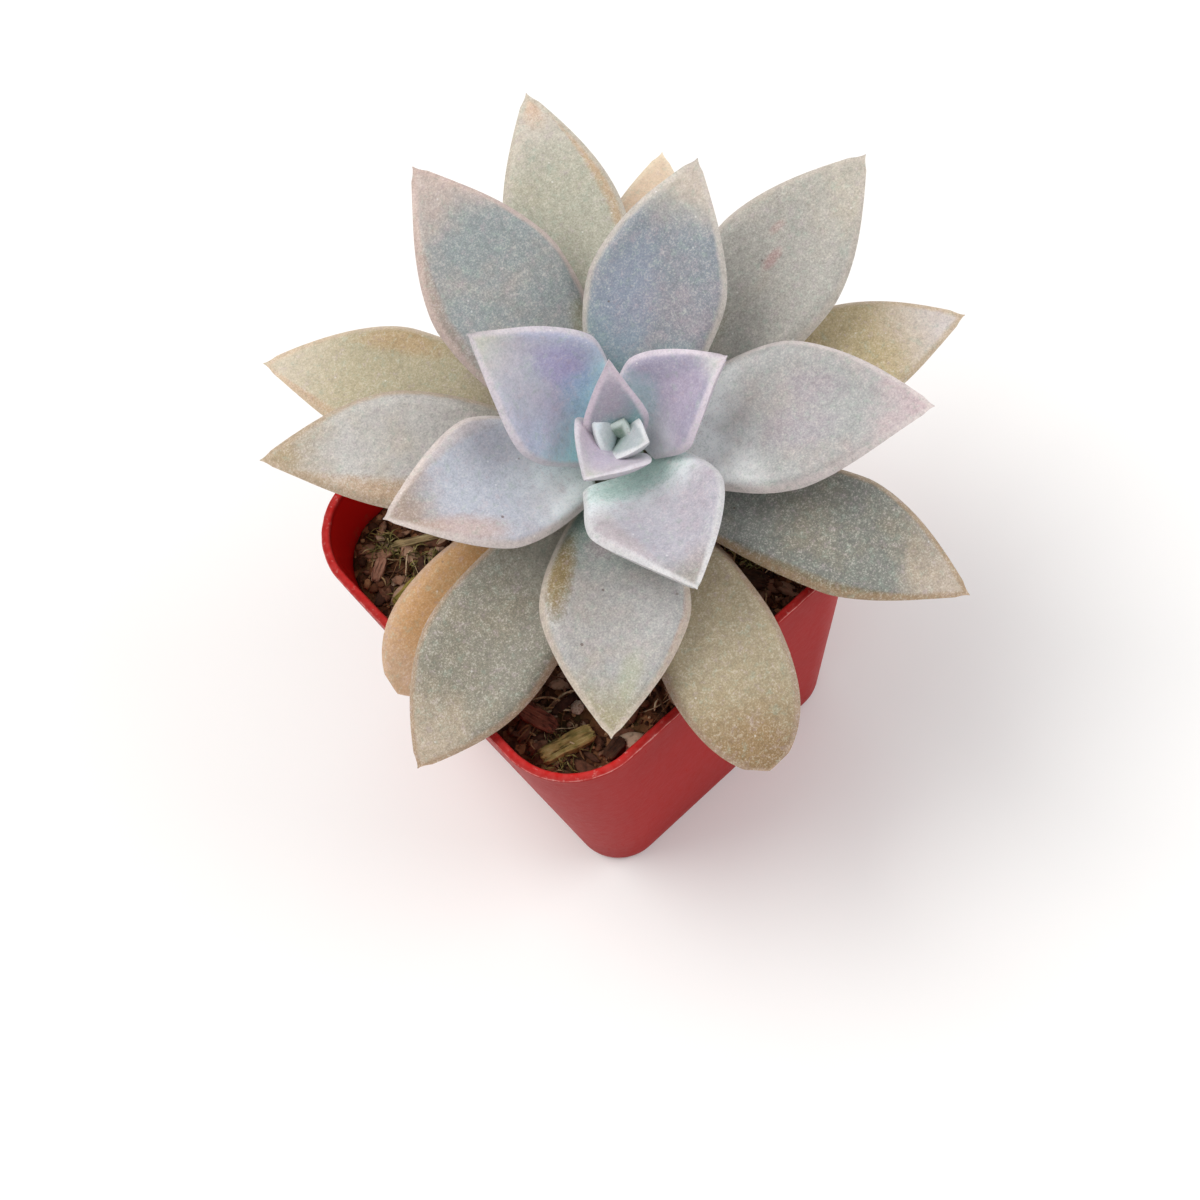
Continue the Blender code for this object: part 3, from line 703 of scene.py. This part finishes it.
def build_pot(pot):
    """Walls, rounded foot and worn rim in one loft, with the drain holes cut through."""
    shape = PotShape(pot)
    rows = pot_profile(pot)
    brim = shape.ring(pot.height, 0)
    dents = np.clip(rippled(brim, 2.2 * MM, 3.0) - 0.12, 0, 1)
    dents += 0.3 * np.clip(rippled(brim, 0.9 * MM, 9.0), 0, 1)
    notches = rippled(brim, 1.5 * MM, 31.0)
    rings = []
    for z, inset, lip, _ in rows:
        ring = shape.ring(z, inset)
        if lip:
            ring[:, 2] -= pot.nicks * min(1, lip * 1.3) * dents
            ring[:, :2] *= 1 + 0.0025 * lip * notches[:, None]
        rings.append(ring)
    floors = (0.25, 0.5, 0.75)
    points = np.array([rings[0] * (k, k, 1) for k in floors] + rings
                      + [rings[-1] * (k, k, 1) for k in reversed(floors)])
    _, _, lips, insides = zip(*[(0, 0, 0, 0)] * 3, *rows, *[(0, 0, 0, 1)] * 3)

    bow = rippled(points * (1, 1, 0.5), 34 * MM, 5.0) * 0.22 * MM
    height = np.clip(points[..., 2] / pot.height, 0, 1)
    outward = points[..., :2] / np.linalg.norm(points[..., :2], axis=-1, keepdims=True)
    taper = height * np.clip((pot.height - points[..., 2]) / (6 * MM), 0, 1)
    points[..., :2] += outward * (bow * taper)[..., None]
    flat, faces = lofted(points, [[0, 0, 0], [0, 0, pot.wall]])
    around = len(brim)
    stored = {
        "lip": np.append(np.repeat(lips, around), [0, 0]),
        "inside": np.append(np.repeat(insides, around), [0, 1]),
        "height": np.clip(flat[:, 2] / pot.height, 0, 1),
    }
    made = new_piece("pot_shell", flat, faces, pot_look(pot), ["pot"], stored)
    drill_drains(made, pot)


def drill_drains(made, pot):
    offset = pot.foot_width / 2 - pot.drain_inset
    cutter = bmesh.new()
    for sx, sy in SQUARE:
        place = Matrix.Translation((sx * offset, sy * offset, pot.wall / 2))
        bmesh.ops.create_cone(cutter, cap_ends=True, segments=48, radius1=pot.drain_radius,
                              radius2=pot.drain_radius, depth=pot.wall * 4, matrix=place)
    mesh = bpy.data.meshes.new("drain_drill")
    cutter.to_mesh(mesh)
    cutter.free()
    drill = in_scene("drain_drill", mesh)
    hole = made.modifiers.new("drains", "BOOLEAN")
    hole.operation = "DIFFERENCE"
    hole.solver = "EXACT"
    hole.object = drill

    bpy.context.view_layer.update()
    drilled = bpy.data.meshes.new_from_object(made.evaluated_get(bpy.context.evaluated_depsgraph_get()))
    plain = made.data
    made.modifiers.clear()
    made.data = drilled
    bpy.data.objects.remove(drill)
    for spent in (mesh, plain):
        bpy.data.meshes.remove(spent)
    drilled.name = made.name


# ---- soil --------------------------------------------------------------------


class Ground:
    """The soil's lumpy top."""

    def __init__(self, pot, soil):
        self.shape = PotShape(pot)
        self.soil = soil
        self.inset = pot.wall + 0.05 * MM
        self.half = self.shape.half(soil.top) - self.inset
        self.corner = self.shape.radius(soil.top) - self.inset

    def height(self, x, y):
        edge = max(abs(x), abs(y)) / self.half
        lump = self.bumps(x, y, 0, 5) + 0.5 * self.bumps(x, y, 4, 2.5)
        fine = self.bumps(x, y, 0, 1.1) + 0.6 * self.bumps(x, y, 7, 0.5)
        return self.soil.top + self.soil.relief * lump * max(0.0, 1 - edge ** 4) + self.soil.grain * fine

    @staticmethod
    def bumps(x, y, layer, size):
        return noise.noise(Vector((x, y, layer * MM)) / (size * MM))

    def inside(self, x, y, margin):
        past = [max(0, abs(v) - self.half + self.corner) for v in (x, y)]
        return math.hypot(*past) < self.corner - margin

    def somewhere(self, rng, margin):
        """A random place on the soil at least this far from the wall."""
        while True:
            x, y = rng.uniform(-self.half, self.half), rng.uniform(-self.half, self.half)
            if self.inside(x, y, margin):
                return x, y


def build_soil(pot, soil):
    ground = Ground(pot, soil)
    low = pot.wall + TOUCH

    def ring(z):
        return ground.shape.ring(z, ground.inset, SOIL_CUTS)

    rings = [ring(low) * (k, k, 1) for k in (0.5, 1.0)]
    rings += [ring(low + (soil.top - 1 * MM - low) * k / 6) for k in range(1, 7)]
    edge = ring(soil.top)
    for i in range(SOIL_RINGS):
        across = edge * (1 - i / SOIL_RINGS, 1 - i / SOIL_RINGS, 1)
        across[:, 2] = [ground.height(x, y) for x, y in across[:, :2].tolist()]
        rings.append(across)
    points, faces = lofted(np.array(rings), [[0, 0, low], [0, 0, ground.height(0, 0)]])
    new_piece("soil_bed", points, faces, soil_look(soil), ["soil"])


def sliver():
    """A flat-cornered flake from -1 to 1 each way, before it is scaled."""
    points, faces = block(2)
    points[:, 0] *= 1 - 0.28 * np.abs(points[:, 1]) ** 2
    points[:, 1] *= 1 - 0.42 * np.abs(points[:, 0]) ** 2
    points[:, 2] *= 1 - 0.35 * np.abs(points[:, 0]) ** 2
    return points, faces


class Heap:
    """Many small closed bodies gathered into one mesh."""

    def __init__(self):
        self.points, self.faces, self.tints = [], [], []
        self.size = 0

    def add(self, points, faces, tint):
        self.points.append(points)
        self.faces += [[i + self.size for i in face] for face in faces]
        self.tints.append(np.full(len(points), tint))
        self.size += len(points)

    def finish(self, name, material):
        stored = {"tint": np.concatenate(self.tints)}
        new_piece(name, np.vstack(self.points), self.faces, material, (), stored)


def laid(points, size, place, turn, tilt, roll):
    """Points scaled, tilted and turned, with their middle at this place."""
    spin = Matrix.Rotation(turn, 3, "Z") @ Matrix.Rotation(tilt, 3, "Y") @ Matrix.Rotation(roll, 3, "X")
    return (points * size) @ np.array(spin).T + place


def scatter_crumbs(ground, soil):
    """Loose peat and bark crumbs, in a few shades."""
    kinds = [(*ball(1), 0.6), (*ball(2), 0.45)]
    material = litter_look("crumb_mix", [
        (0.0, soil.dark), (0.35, "#68422c"), (0.6, soil.middle), (0.8, "#b38c66"), (1.0, soil.pale)])
    for seed, (name, portion, largest, smallest, flat, low, high) in enumerate(MIX, CRUMB_SEED):
        rng, maker = random.Random(seed), np.random.default_rng(seed)
        heap = Heap()
        for _ in range(round(soil.crumbs * portion)):
            size = (smallest + (largest - smallest) * rng.random() ** 2.6) * MM
            points, faces, knobbly = kinds[size > BIG_CRUMB]
            knobs = maker.standard_normal((len(points), 1)).clip(-1.5, 1.5)
            lumpy = points * (1 + 0.22 * knobs * knobbly)
            x, y = ground.somewhere(rng, size * 0.5)
            place = np.array((x, y, ground.height(x, y) + size * rng.uniform(0.0, 0.45)))
            scale = np.array((0.5, rng.uniform(0.3, 0.5), 0.5 * flat * rng.uniform(0.6, 1))) * size
            angles = (rng.uniform(0, math.tau), rng.uniform(-0.6, 0.6), rng.uniform(-0.6, 0.6))
            heap.add(laid(lumpy, scale, place, *angles), faces, rng.uniform(low, high))
        heap.finish(name, material)


def scatter_flakes(ground, soil):
    """Thin slivers of bark lying at all angles."""
    rng, maker = random.Random(FLAKE_SEED), np.random.default_rng(FLAKE_SEED)
    points, faces = sliver()
    heap = Heap()
    for _ in range(soil.flakes):
        size = rng.uniform(1.3, 4.2) * MM
        ragged = points * (1 + 0.14 * maker.standard_normal(points.shape).clip(-1.6, 1.6))
        scale = np.array((size / 2, size * rng.uniform(0.12, 0.26), size * rng.uniform(0.05, 0.10)))
        x, y = ground.somewhere(rng, size * 0.5)
        tilt, roll = rng.gauss(0, 0.22), rng.gauss(0, 0.35)
        lift = abs(math.sin(tilt)) * size * 0.4 + 0.25 * MM
        place = np.array((x, y, ground.height(x, y) + lift))
        heap.add(laid(ragged, scale, place, rng.uniform(0, math.tau), tilt, roll), faces, rng.random() ** 1.4)
    stops = [(0.0, "#3e281e"), (0.3, "#704a36"), (0.60, "#977058"), (0.9, "#b3947c"), (1.0, "#bfa68e")]
    heap.finish("soil_flakes", litter_look("flake_bark", stops, 0.3, 0.07))


def strand(path, radius):
    """A thin tapering closed tube along a path."""
    path = np.asarray(path)
    way, ring = spokes(path, (0.13, 0.21, 0.97), 5)
    thick = radius * (1 - 0.55 * np.linspace(-1, 1, len(path)) ** 2)
    ends = [path[0] - way[0] * radius * 0.5, path[-1] + way[-1] * radius * 0.5]
    return lofted(path[:, None] + ring * thick[:, None, None], ends)


def wandering(ground, rng, start, size, curl, lift):
    """A path over the soil from this place, or None if it would meet the wall."""
    x, y = start
    heading, bend = rng.uniform(0, math.tau), rng.gauss(0, curl)
    steps = 12
    path = []
    for k in range(steps + 1):
        if not ground.inside(x, y, 0.4 * MM):
            return None
        arch = math.sin(math.pi * k / steps)
        path.append((x, y, ground.height(x, y) + (0.2 + lift * arch) * MM))
        heading += bend / steps + rng.gauss(0, 0.10)
        x += math.cos(heading) * size / steps
        y += math.sin(heading) * size / steps
    heights = np.array([p[2] for p in path])
    smooth = np.convolve(np.pad(heights, 2, "edge"), np.ones(5) / 5, "valid")
    return [(p[0], p[1], max(s, 0) + 0.12 * MM) for p, s in zip(path, smooth)]


def scatter_fibres(ground, soil):
    """Coir and root fibres over the soil, and tufts of yellow-green moss."""
    rng = random.Random(FIBRE_SEED)
    heap = Heap()
    while len(heap.points) < soil.fibres:
        start = ground.somewhere(rng, 1 * MM)
        path = wandering(ground, rng, start, rng.uniform(1.5, 7.0) * MM, 0.7, rng.uniform(0.2, 1.3))
        if path:
            heap.add(*strand(path, (0.05 + 0.14 * rng.random() ** 2) * MM), rng.random())
    stops = [(0.0, "#4a2f1f"), (0.4, "#84603f"), (0.7, "#ad8e64"), (1.0, "#dcc7a2")]
    heap.finish("soil_fibres", litter_look("fibre_coir", stops, 0.4, 0.02))

    tufts = Heap()
    for sx, sy, wide in MOSS_TUFTS:
        made = 0
        while made < soil.moss:
            x, y = (middle * ground.half + rng.gauss(0, wide / 2.4) * MM for middle in (sx, sy))
            path = wandering(ground, rng, (x, y), rng.uniform(1.0, 3.4) * MM, 0.9, rng.uniform(0.2, 1.3))
            made += ground.inside(x, y, 0.6 * MM)
            if path:
                tufts.add(*strand(path, rng.uniform(0.05, 0.10) * MM), rng.random())
    stops = [(0.0, "#453a20"), (0.45, soil.moss_green), (0.75, "#9c9358"), (1.0, "#c4b888")]
    tufts.finish("moss_tufts", litter_look("moss_strands", stops, 0.5, 0.02))


# ---- chips, twigs and grains -------------------------------------------------


def along_grain(node):
    """A CAD piece's own axes with the grain first, its middle, and its half sizes."""
    points = np.array([v.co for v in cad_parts[node].data.vertices])
    middle = (points.min(0) + points.max(0)) / 2
    _, _, axes = np.linalg.svd(points - points.mean(0), full_matrices=False)
    across = (points - middle) @ axes.T
    middle = middle + (across.min(0) + across.max(0)) / 2 @ axes
    return axes, middle, (across.max(0) - across.min(0)) / 2


def hewn(node, name, material, seed, taper=0.25, ragged=0.16, ridge=0.10):
    """A split chip or stick in the CAD piece's place: squared sides, ragged broken
    ends and fibres along its grain."""
    axes, middle, half = along_grain(node)
    p, faces = block(21)
    shape = p / (np.abs(p) ** 9).sum(1, keepdims=True) ** (1 / 9)
    x, _, z = p.T
    waist = rippled(p * (1.3, 0.2, 0.2), 1.0, seed)
    lamina = rippled(p * (0.2, 3.0, 3.0), 1.0, seed + 3)
    layers = np.round(2.6 * rippled(p * (0.7, 1.6, 0.3), 1.0, seed + 7)) * 0.16
    shape[:, 0] *= 1 - ragged * (0.5 + lamina) * np.abs(x) ** 6
    shape[:, 1] *= 1 - taper * np.abs(x) ** 2.5 + 0.14 * waist
    shape[:, 2] *= 1 - 0.5 * taper * np.abs(x) ** 3
    shape[:, 2] += layers * np.abs(z) ** 4 * np.sign(z)
    grain = shape * half / MM
    fibres = rippled(grain / (7, 1, 1), 0.26, seed) + 0.6 * rippled(grain / (9, 1, 1), 0.13, seed + 1)
    knocks = rippled(grain, 0.9, seed + 2)
    spread = ridge * fibres + 0.10 * knocks
    outward = p / np.linalg.norm(p, axis=1, keepdims=True) * (0.3, 1, 1)
    local = shape * half * (0.97, 0.93, 0.93) + outward * spread[:, None] * MM
    new_piece(name, local @ axes + middle, faces, material, [node], {"grain": grain})


def pitted(node, name, material, seed):
    """A grain of perlite in the CAD piece's place, knobbly and pitted."""
    axes, middle, half = along_grain(node)
    points, faces = ball(4)
    lumps = 0.20 * rippled(points, 0.9, seed) + 0.10 * rippled(points, 0.35, seed + 4)
    pits = -0.12 * np.clip(rippled(points, 0.28, seed + 8) - 0.25, 0, 1)
    local = points * (1 + lumps + pits)[:, None] * half
    new_piece(name, local @ axes + middle, faces, material, [node])


def build_grit():
    red = bark_look("bark_red", "#4a241a", "#8f5340", "#b67c62")
    wood = bark_look("bark_mossy", "#4f3e20", "#aa935c", "#d9c993", 0.35, 0.6)
    brown = bark_look("bark_dark", "#1f120c", "#4b3020", "#7d5c40")
    pink = bark_look("bark_pale", "#6b4334", "#a37863", "#c49d86", 0.0, 0.3)
    for i, finish in enumerate((red, wood, brown, pink, brown, brown)):
        hewn(f"bark_chip_{i + 1}", f"chip_{i + 1}", finish, 11.0 * i + 1, 0.10 if finish is wood else 0.3)
    pale = bark_look("twig_pale", "#5b4a30", "#a8946c", "#d8c8a2", 0.15, 0.3, 10)
    green = bark_look("twig_green", "#4a4018", "#a09048", "#cfc07c", 0.4, 0.35, 10)
    for i, finish in enumerate((pale, green)):
        hewn(f"twig_{i + 1}", f"stick_{i + 1}", finish, 70.0 + 5 * i, 0.3, 0.10, 0.06)
    stone = stone_look()
    for i in range(3):
        pitted(f"perlite_{i + 1}", f"grain_{i + 1}", stone, 90.0 + 7 * i)


# ---- plant -------------------------------------------------------------------


class Rosette:
    """The rosette's axes and the stem's taper."""

    def __init__(self, plant, pot):
        self.plant = plant
        self.unit = plant.millimetre
        lean, toward = plant.lean, plant.lean_toward
        z = Vector((math.sin(toward) * math.sin(lean), -math.cos(toward) * math.sin(lean), math.cos(lean)))
        x = (Vector((1, 0, 0)) - z * z.x).normalized()
        across, back = (share_of_half * pot.rim_width / 2 for share_of_half in LOWEST_LEAF)
        first = Vector((across, back, pot.height + self.unit))
        turn = Matrix((x, z.cross(x), z)).transposed().to_4x4()
        self.lowest = LEAF_SHAPES[0][4] * self.unit * plant.fatness
        self.matrix = Matrix.Translation(first + z * self.lowest) @ turn
        self.axis = z

    def stem_radius(self, depth):
        taper = STEM_TAPER * self.unit * self.plant.fatness
        return self.plant.stem_radius * math.sin(math.pi / 2 * min(1.0, depth / taper))

    def place(self, points):
        world = np.array(self.matrix)
        return points @ world[:3, :3].T + world[:3, 3]


def leaf_outline(s, widest, base, blunt):
    """Share of the full width at each share of the length."""
    low = base + (1 - base) * np.sin(np.pi / 2 * np.clip(s / widest, 0, 1)) ** 1.25
    high = (1 - np.clip((s - widest) / (1 - widest), 0, 1) ** blunt) ** (0.75 if blunt > 2 else 1.1)
    return np.where(s < widest, low, high)


def leaf_section(half_steps, outline, bevel):
    """Across, height share and underside share once round each cut: nearly flat above
    with a bevel of the same width all round the margin, keeled below."""
    turn = np.pi * np.arange(half_steps) / half_steps
    u = np.concatenate([-np.cos(turn), np.cos(turn)])
    under = np.concatenate([np.zeros(half_steps), np.ones(half_steps)])
    inward = (1 - np.abs(u)) * outline[:, None]
    crown = 1 - np.exp(-(inward / np.minimum(bevel, 0.3 * outline.max())) ** 1.15)
    above = 0.40 * crown - 0.13 * (1 - u * u)
    below = -0.58 * (1 - u * u) ** 0.75
    return u, np.where(under > 0, below, above), under


def leaf_mesh(rosette, index, lengthwise, half_steps):
    """One leaf's points and faces, and what is stored at its points."""
    plant, unit = rosette.plant, rosette.unit
    azimuth, reach, width, thick, depth, rise0, rise1, sweep, widest, base, cup, blunt = LEAF_SHAPES[index]
    reach, width, thick = reach * unit, width * unit, thick * unit * plant.fatness
    depth = depth * unit * plant.fatness
    point = plant.mucro * min(1.0, reach / (20 * unit)) * (0.2 if blunt > 2 else 1.0) / reach

    t = np.linspace(0, 1, lengthwise)
    s = 0.004 + (1 + point - 0.006) * (0.5 - 0.5 * np.cos(np.pi * t)) ** 0.92
    fine = np.linspace(0, 1 + point, 601)
    rise = np.radians(rise0 + (rise1 - rise0) * fine)
    head = np.radians(sweep * (fine - 0.5))
    way = np.column_stack([np.cos(rise) * np.cos(head), np.cos(rise) * np.sin(head), np.sin(rise)])
    walked = np.vstack([[0, 0, 0], np.cumsum((way[1:] + way[:-1]) / 2, axis=0)]) * (fine[1] * reach)
    nestled = np.clip((depth / unit - 2) / 5, 0.1, 1)
    start = np.array((rosette.stem_radius(depth) * nestled + TOUCH, 0, 0))
    middle, along = (np.array([np.interp(s, fine, k) for k in line.T]).T for line in (walked, way))
    middle += start
    side = np.cross((0, 0, 1.0), along)
    side /= np.linalg.norm(side, axis=1, keepdims=True)
    up = np.cross(along, side)

    inner = np.clip(s, 0, 1)
    ends = np.minimum(1, np.sqrt(25 * inner))
    outline = leaf_outline(inner * 0.986, widest, base, blunt) * width / 2 * ends
    full = 0.62 + 0.38 * np.sin(np.pi * np.minimum(1, inner / 0.95) ** 0.9)
    full *= 1 - 0.62 * np.clip((inner - 0.55) / 0.45, 0, 1) ** 2
    full *= ends * np.sqrt(np.clip(14 * (1 - inner), 0, 1)) * thick
    rounding = np.sqrt(np.clip((1 - inner) / plant.tip_rounding, 0, 1))
    spike = 0.020 * width * np.sqrt(np.clip((1 + point - s) / (0.035 + point), 0, 1)) * (s > 0.9)
    outline, full = np.hypot(outline * rounding, spike), np.hypot(full * rounding, spike * 1.5)

    u, lift, under = leaf_section(half_steps, outline, plant.bevel)
    wobble = np.array([[noise.noise(Vector((x * 4.5, y * 1.5, index * 3.1))) for y in (-1, 1)] for x in s])
    skew = np.where(u < 0, wobble[:, :1], wobble[:, 1:]) * np.abs(u) * 0.035
    flat = outline[:, None] * u * (1 + skew)
    tall = full[:, None] * lift + cup * outline[:, None] * u * u
    points = middle[:, None] + side[:, None] * flat[..., None] + up[:, None] * tall[..., None]

    dents = rippled(points, 6.5 * unit, index * 7.3) + 0.35 * rippled(points, 2.6 * unit, index * 5.1)
    swell = dents * np.sin(np.pi * np.clip(s, 0, 1))[:, None] * (1 - np.abs(u) ** 6) * np.sign(0.5 - under)
    points += up[:, None] * (swell * plant.dents * min(1, thick / (5 * unit)))[..., None]

    spin = np.array(Matrix.Rotation(math.radians(azimuth), 3, "Z"))
    flat, faces = lofted(points, [start, start + walked[-1]])
    margin = (1 - np.abs(u)) * outline[:, None] / MM
    stored = {
        "along": np.append(np.repeat(s, len(u)), [0, 1]),
        "across": np.append(np.tile(u, lengthwise), [0, 0]),
        "edge": np.append(margin.ravel(), [3, 0]),
        "under": np.append(np.tile(under * (1 - np.abs(u) ** 8), lengthwise), [0, 0]),
    }
    return rosette.place(flat @ spin.T - (0, 0, depth)), faces, stored


def build_leaves(plant, pot):
    rosette = Rosette(plant, pot)
    for index in range(len(LEAF_SHAPES)):
        points, faces, stored = leaf_mesh(rosette, index, *(LEAF_CUTS if index < FIRST_BUD else BUD_CUTS))
        name = f"leaf_{index + 1:02d}"
        new_piece(f"{name}_skin", points, faces, leaf_look(plant, index), [name], stored)


def build_stem(plant, pot, soil):
    """One stem down the rosette's axis, bending upright into the soil, with leaf scars."""
    rosette = Rosette(plant, pot)
    unit, low = rosette.unit, rosette.lowest
    top, last = STEM_TOP * unit * plant.fatness, low + STEM_LAST * unit
    root = rosette.matrix @ Vector((0, 0, -low - STEM_BEND * unit))
    floor = Vector((root.x, root.y, soil.top - SOCKET_DEPTH))
    knots = [rosette.matrix @ Vector((0, 0, -top - (last - top) * k / 12)) for k in range(13)]
    knots += [root.lerp(floor, k / 5) for k in range(1, 6)]
    steps = 6
    path = np.array([one.lerp(two, k / steps) for one, two in zip(knots, knots[1:]) for k in range(steps)]
                    + [knots[-1]])
    for _ in range(8):
        path[1:-1] = (path[:-2] + 2 * path[1:-1] + path[2:]) / 4
    way, ring = spokes(path, (1, 0, 0), STEM_SIDES)
    depth = (np.array(rosette.matrix.translation) - path) @ np.array(rosette.axis)
    radius = np.array([rosette.stem_radius(d) for d in depth])
    plain = path[:, None] + ring * radius[:, None, None]
    scars = 0.14 * rippled(plain * (0.4, 0.4, 1.6), 1.1 * MM, 2.0) + 0.10 * rippled(plain, 0.7 * MM, 8.0)
    ends = [path[0] - way[0] * TOUCH, path[-1] + way[-1] * TOUCH]
    points, faces = lofted(plain + ring * (scars * MM)[..., None], ends)
    shoot = np.clip(1.6 - depth / (9 * unit), 0, 1)
    stored = {"shoot": np.append(np.repeat(shoot, STEM_SIDES), [1, 0])}
    new_piece("stem_core", points, faces, stem_look(plant), ["stem"], stored)


# ---- stage -------------------------------------------------------------------


def build_camera(stage):
    a, e, roll = stage.azimuth, stage.elevation, stage.roll
    back = Vector((math.sin(a) * math.cos(e), -math.cos(a) * math.cos(e), math.sin(e)))
    right = Vector((0, 0, 1)).cross(back).normalized()
    up = back.cross(right)
    tilted = right * math.cos(roll) + up * math.sin(roll)
    upright = up * math.cos(roll) - right * math.sin(roll)
    data = bpy.data.cameras.new("camera")
    data.lens = stage.lens
    data.sensor_width = 36
    data.clip_start = 5 * MM
    data.clip_end = 20
    camera = in_scene("camera", data)
    turn = Matrix((tilted, upright, back)).transposed().to_4x4()
    camera.matrix_world = Matrix.Translation(stage.place) @ turn
    bpy.context.scene.camera = camera


def build_floor(stage):
    bm = bmesh.new()
    bmesh.ops.create_grid(bm, x_segments=40, y_segments=40, size=1.6)
    mesh = bpy.data.meshes.new("floor")
    bm.to_mesh(mesh)
    bm.free()
    mesh.materials.append(floor_look(stage))
    in_scene("floor", mesh)


def add_softbox(name, place, size, power, tint):
    data = bpy.data.lights.new(name, "AREA")
    data.shape = "DISK"
    data.size = size
    data.energy = power
    data.color = tint
    lamp = in_scene(name, data)
    lamp.location = place
    aim = Vector((0, 0, 50 * MM)) - lamp.location
    lamp.rotation_mode = "QUATERNION"
    lamp.rotation_quaternion = aim.to_track_quat("-Z", "Y")


def build_sky(stage):
    world = bpy.data.worlds.new("studio")
    world.use_nodes = True
    background = world.node_tree.nodes["Background"]
    background.inputs["Color"].default_value = (0.97, 0.98, 1.0, 1)
    background.inputs["Strength"].default_value = stage.sky
    scene = bpy.context.scene
    scene.world = world
    scene.view_settings.view_transform = "Standard"


# ---- operators ---------------------------------------------------------------


class SUCCULENT_OT_stage(bpy.types.Operator):
    """Set up the camera, the floor, the lights and the sky"""

    bl_idname = "succulent.stage"
    bl_label = "Stage"

    def execute(self, context):
        stage = context.scene.succulent.stage
        build_camera(stage)
        build_floor(stage)
        build_sky(stage)
        add_softbox("key_light", (-0.22, 0.30, 0.75), 0.60, stage.key, (1.0, 0.985, 0.96))
        add_softbox("fill_light", (0.45, -0.35, 0.50), 0.50, stage.fill, (0.96, 0.98, 1.0))
        return {"FINISHED"}


class SUCCULENT_OT_pot(bpy.types.Operator):
    """Build the square plastic pot with its worn rim and drain holes"""

    bl_idname = "succulent.pot"
    bl_label = "Pot"

    def execute(self, context):
        build_pot(context.scene.succulent.pot)
        return {"FINISHED"}


class SUCCULENT_OT_soil(bpy.types.Operator):
    """Fill the pot with lumpy soil"""

    bl_idname = "succulent.soil"
    bl_label = "Soil"

    def execute(self, context):
        settings = context.scene.succulent
        build_soil(settings.pot, settings.soil)
        return {"FINISHED"}


class SUCCULENT_OT_litter(bpy.types.Operator):
    """Scatter crumbs, bark flakes, fibres and moss over the soil"""

    bl_idname = "succulent.litter"
    bl_label = "Litter"

    def execute(self, context):
        settings = context.scene.succulent
        ground = Ground(settings.pot, settings.soil)
        scatter_crumbs(ground, settings.soil)
        scatter_flakes(ground, settings.soil)
        scatter_fibres(ground, settings.soil)
        return {"FINISHED"}


class SUCCULENT_OT_grit(bpy.types.Operator):
    """Lay the larger bark chips, twigs and perlite grains where the model has them"""

    bl_idname = "succulent.grit"
    bl_label = "Chips, Twigs and Grains"

    def execute(self, context):
        build_grit()
        return {"FINISHED"}


class SUCCULENT_OT_stem(bpy.types.Operator):
    """Grow the stem with its leaf scars"""

    bl_idname = "succulent.stem"
    bl_label = "Stem"

    def execute(self, context):
        settings = context.scene.succulent
        build_stem(settings.plant, settings.pot, settings.soil)
        return {"FINISHED"}


class SUCCULENT_OT_leaves(bpy.types.Operator):
    """Grow the rosette's leaves, each with its own skin"""

    bl_idname = "succulent.leaves"
    bl_label = "Leaves"

    def execute(self, context):
        settings = context.scene.succulent
        build_leaves(settings.plant, settings.pot)
        return {"FINISHED"}


STEPS = (
    (SUCCULENT_OT_stage, "stage"),
    (SUCCULENT_OT_pot, "pot"),
    (SUCCULENT_OT_soil, "soil"),
    (SUCCULENT_OT_litter, "soil"),
    (SUCCULENT_OT_grit, None),
    (SUCCULENT_OT_stem, "plant"),
    (SUCCULENT_OT_leaves, "plant"),
)


class SUCCULENT_PT_panel(bpy.types.Panel):
    """The pieces in building order, with their sizes and colours"""

    bl_idname = "SUCCULENT_PT_panel"
    bl_label = "Potted Succulent"
    bl_space_type = "VIEW_3D"
    bl_region_type = "UI"
    bl_category = "Succulent"

    def draw(self, context):
        settings = context.scene.succulent
        shown = set()
        for operator, group in STEPS:
            self.layout.operator(operator.bl_idname)
            if group is None or group in shown:
                continue
            shown.add(group)
            values = getattr(settings, group)
            box = self.layout.box()
            for key in type(values).__annotations__:
                box.prop(values, key)


CLASSES = (
    PotSettings, SoilSettings, PlantSettings, StageSettings, SucculentSettings,
    *(operator for operator, _ in STEPS), SUCCULENT_PT_panel,
)


def register():
    for cls in CLASSES:
        bpy.utils.register_class(cls)
    bpy.types.Scene.succulent = PointerProperty(type=SucculentSettings)


def unregister():
    del bpy.types.Scene.succulent
    for cls in reversed(CLASSES):
        bpy.utils.unregister_class(cls)


def main():
    register()
    for operator, _ in STEPS:
        group, name = operator.bl_idname.split(".")
        getattr(getattr(bpy.ops, group), name)()


if __name__ == "__main__":
    main()
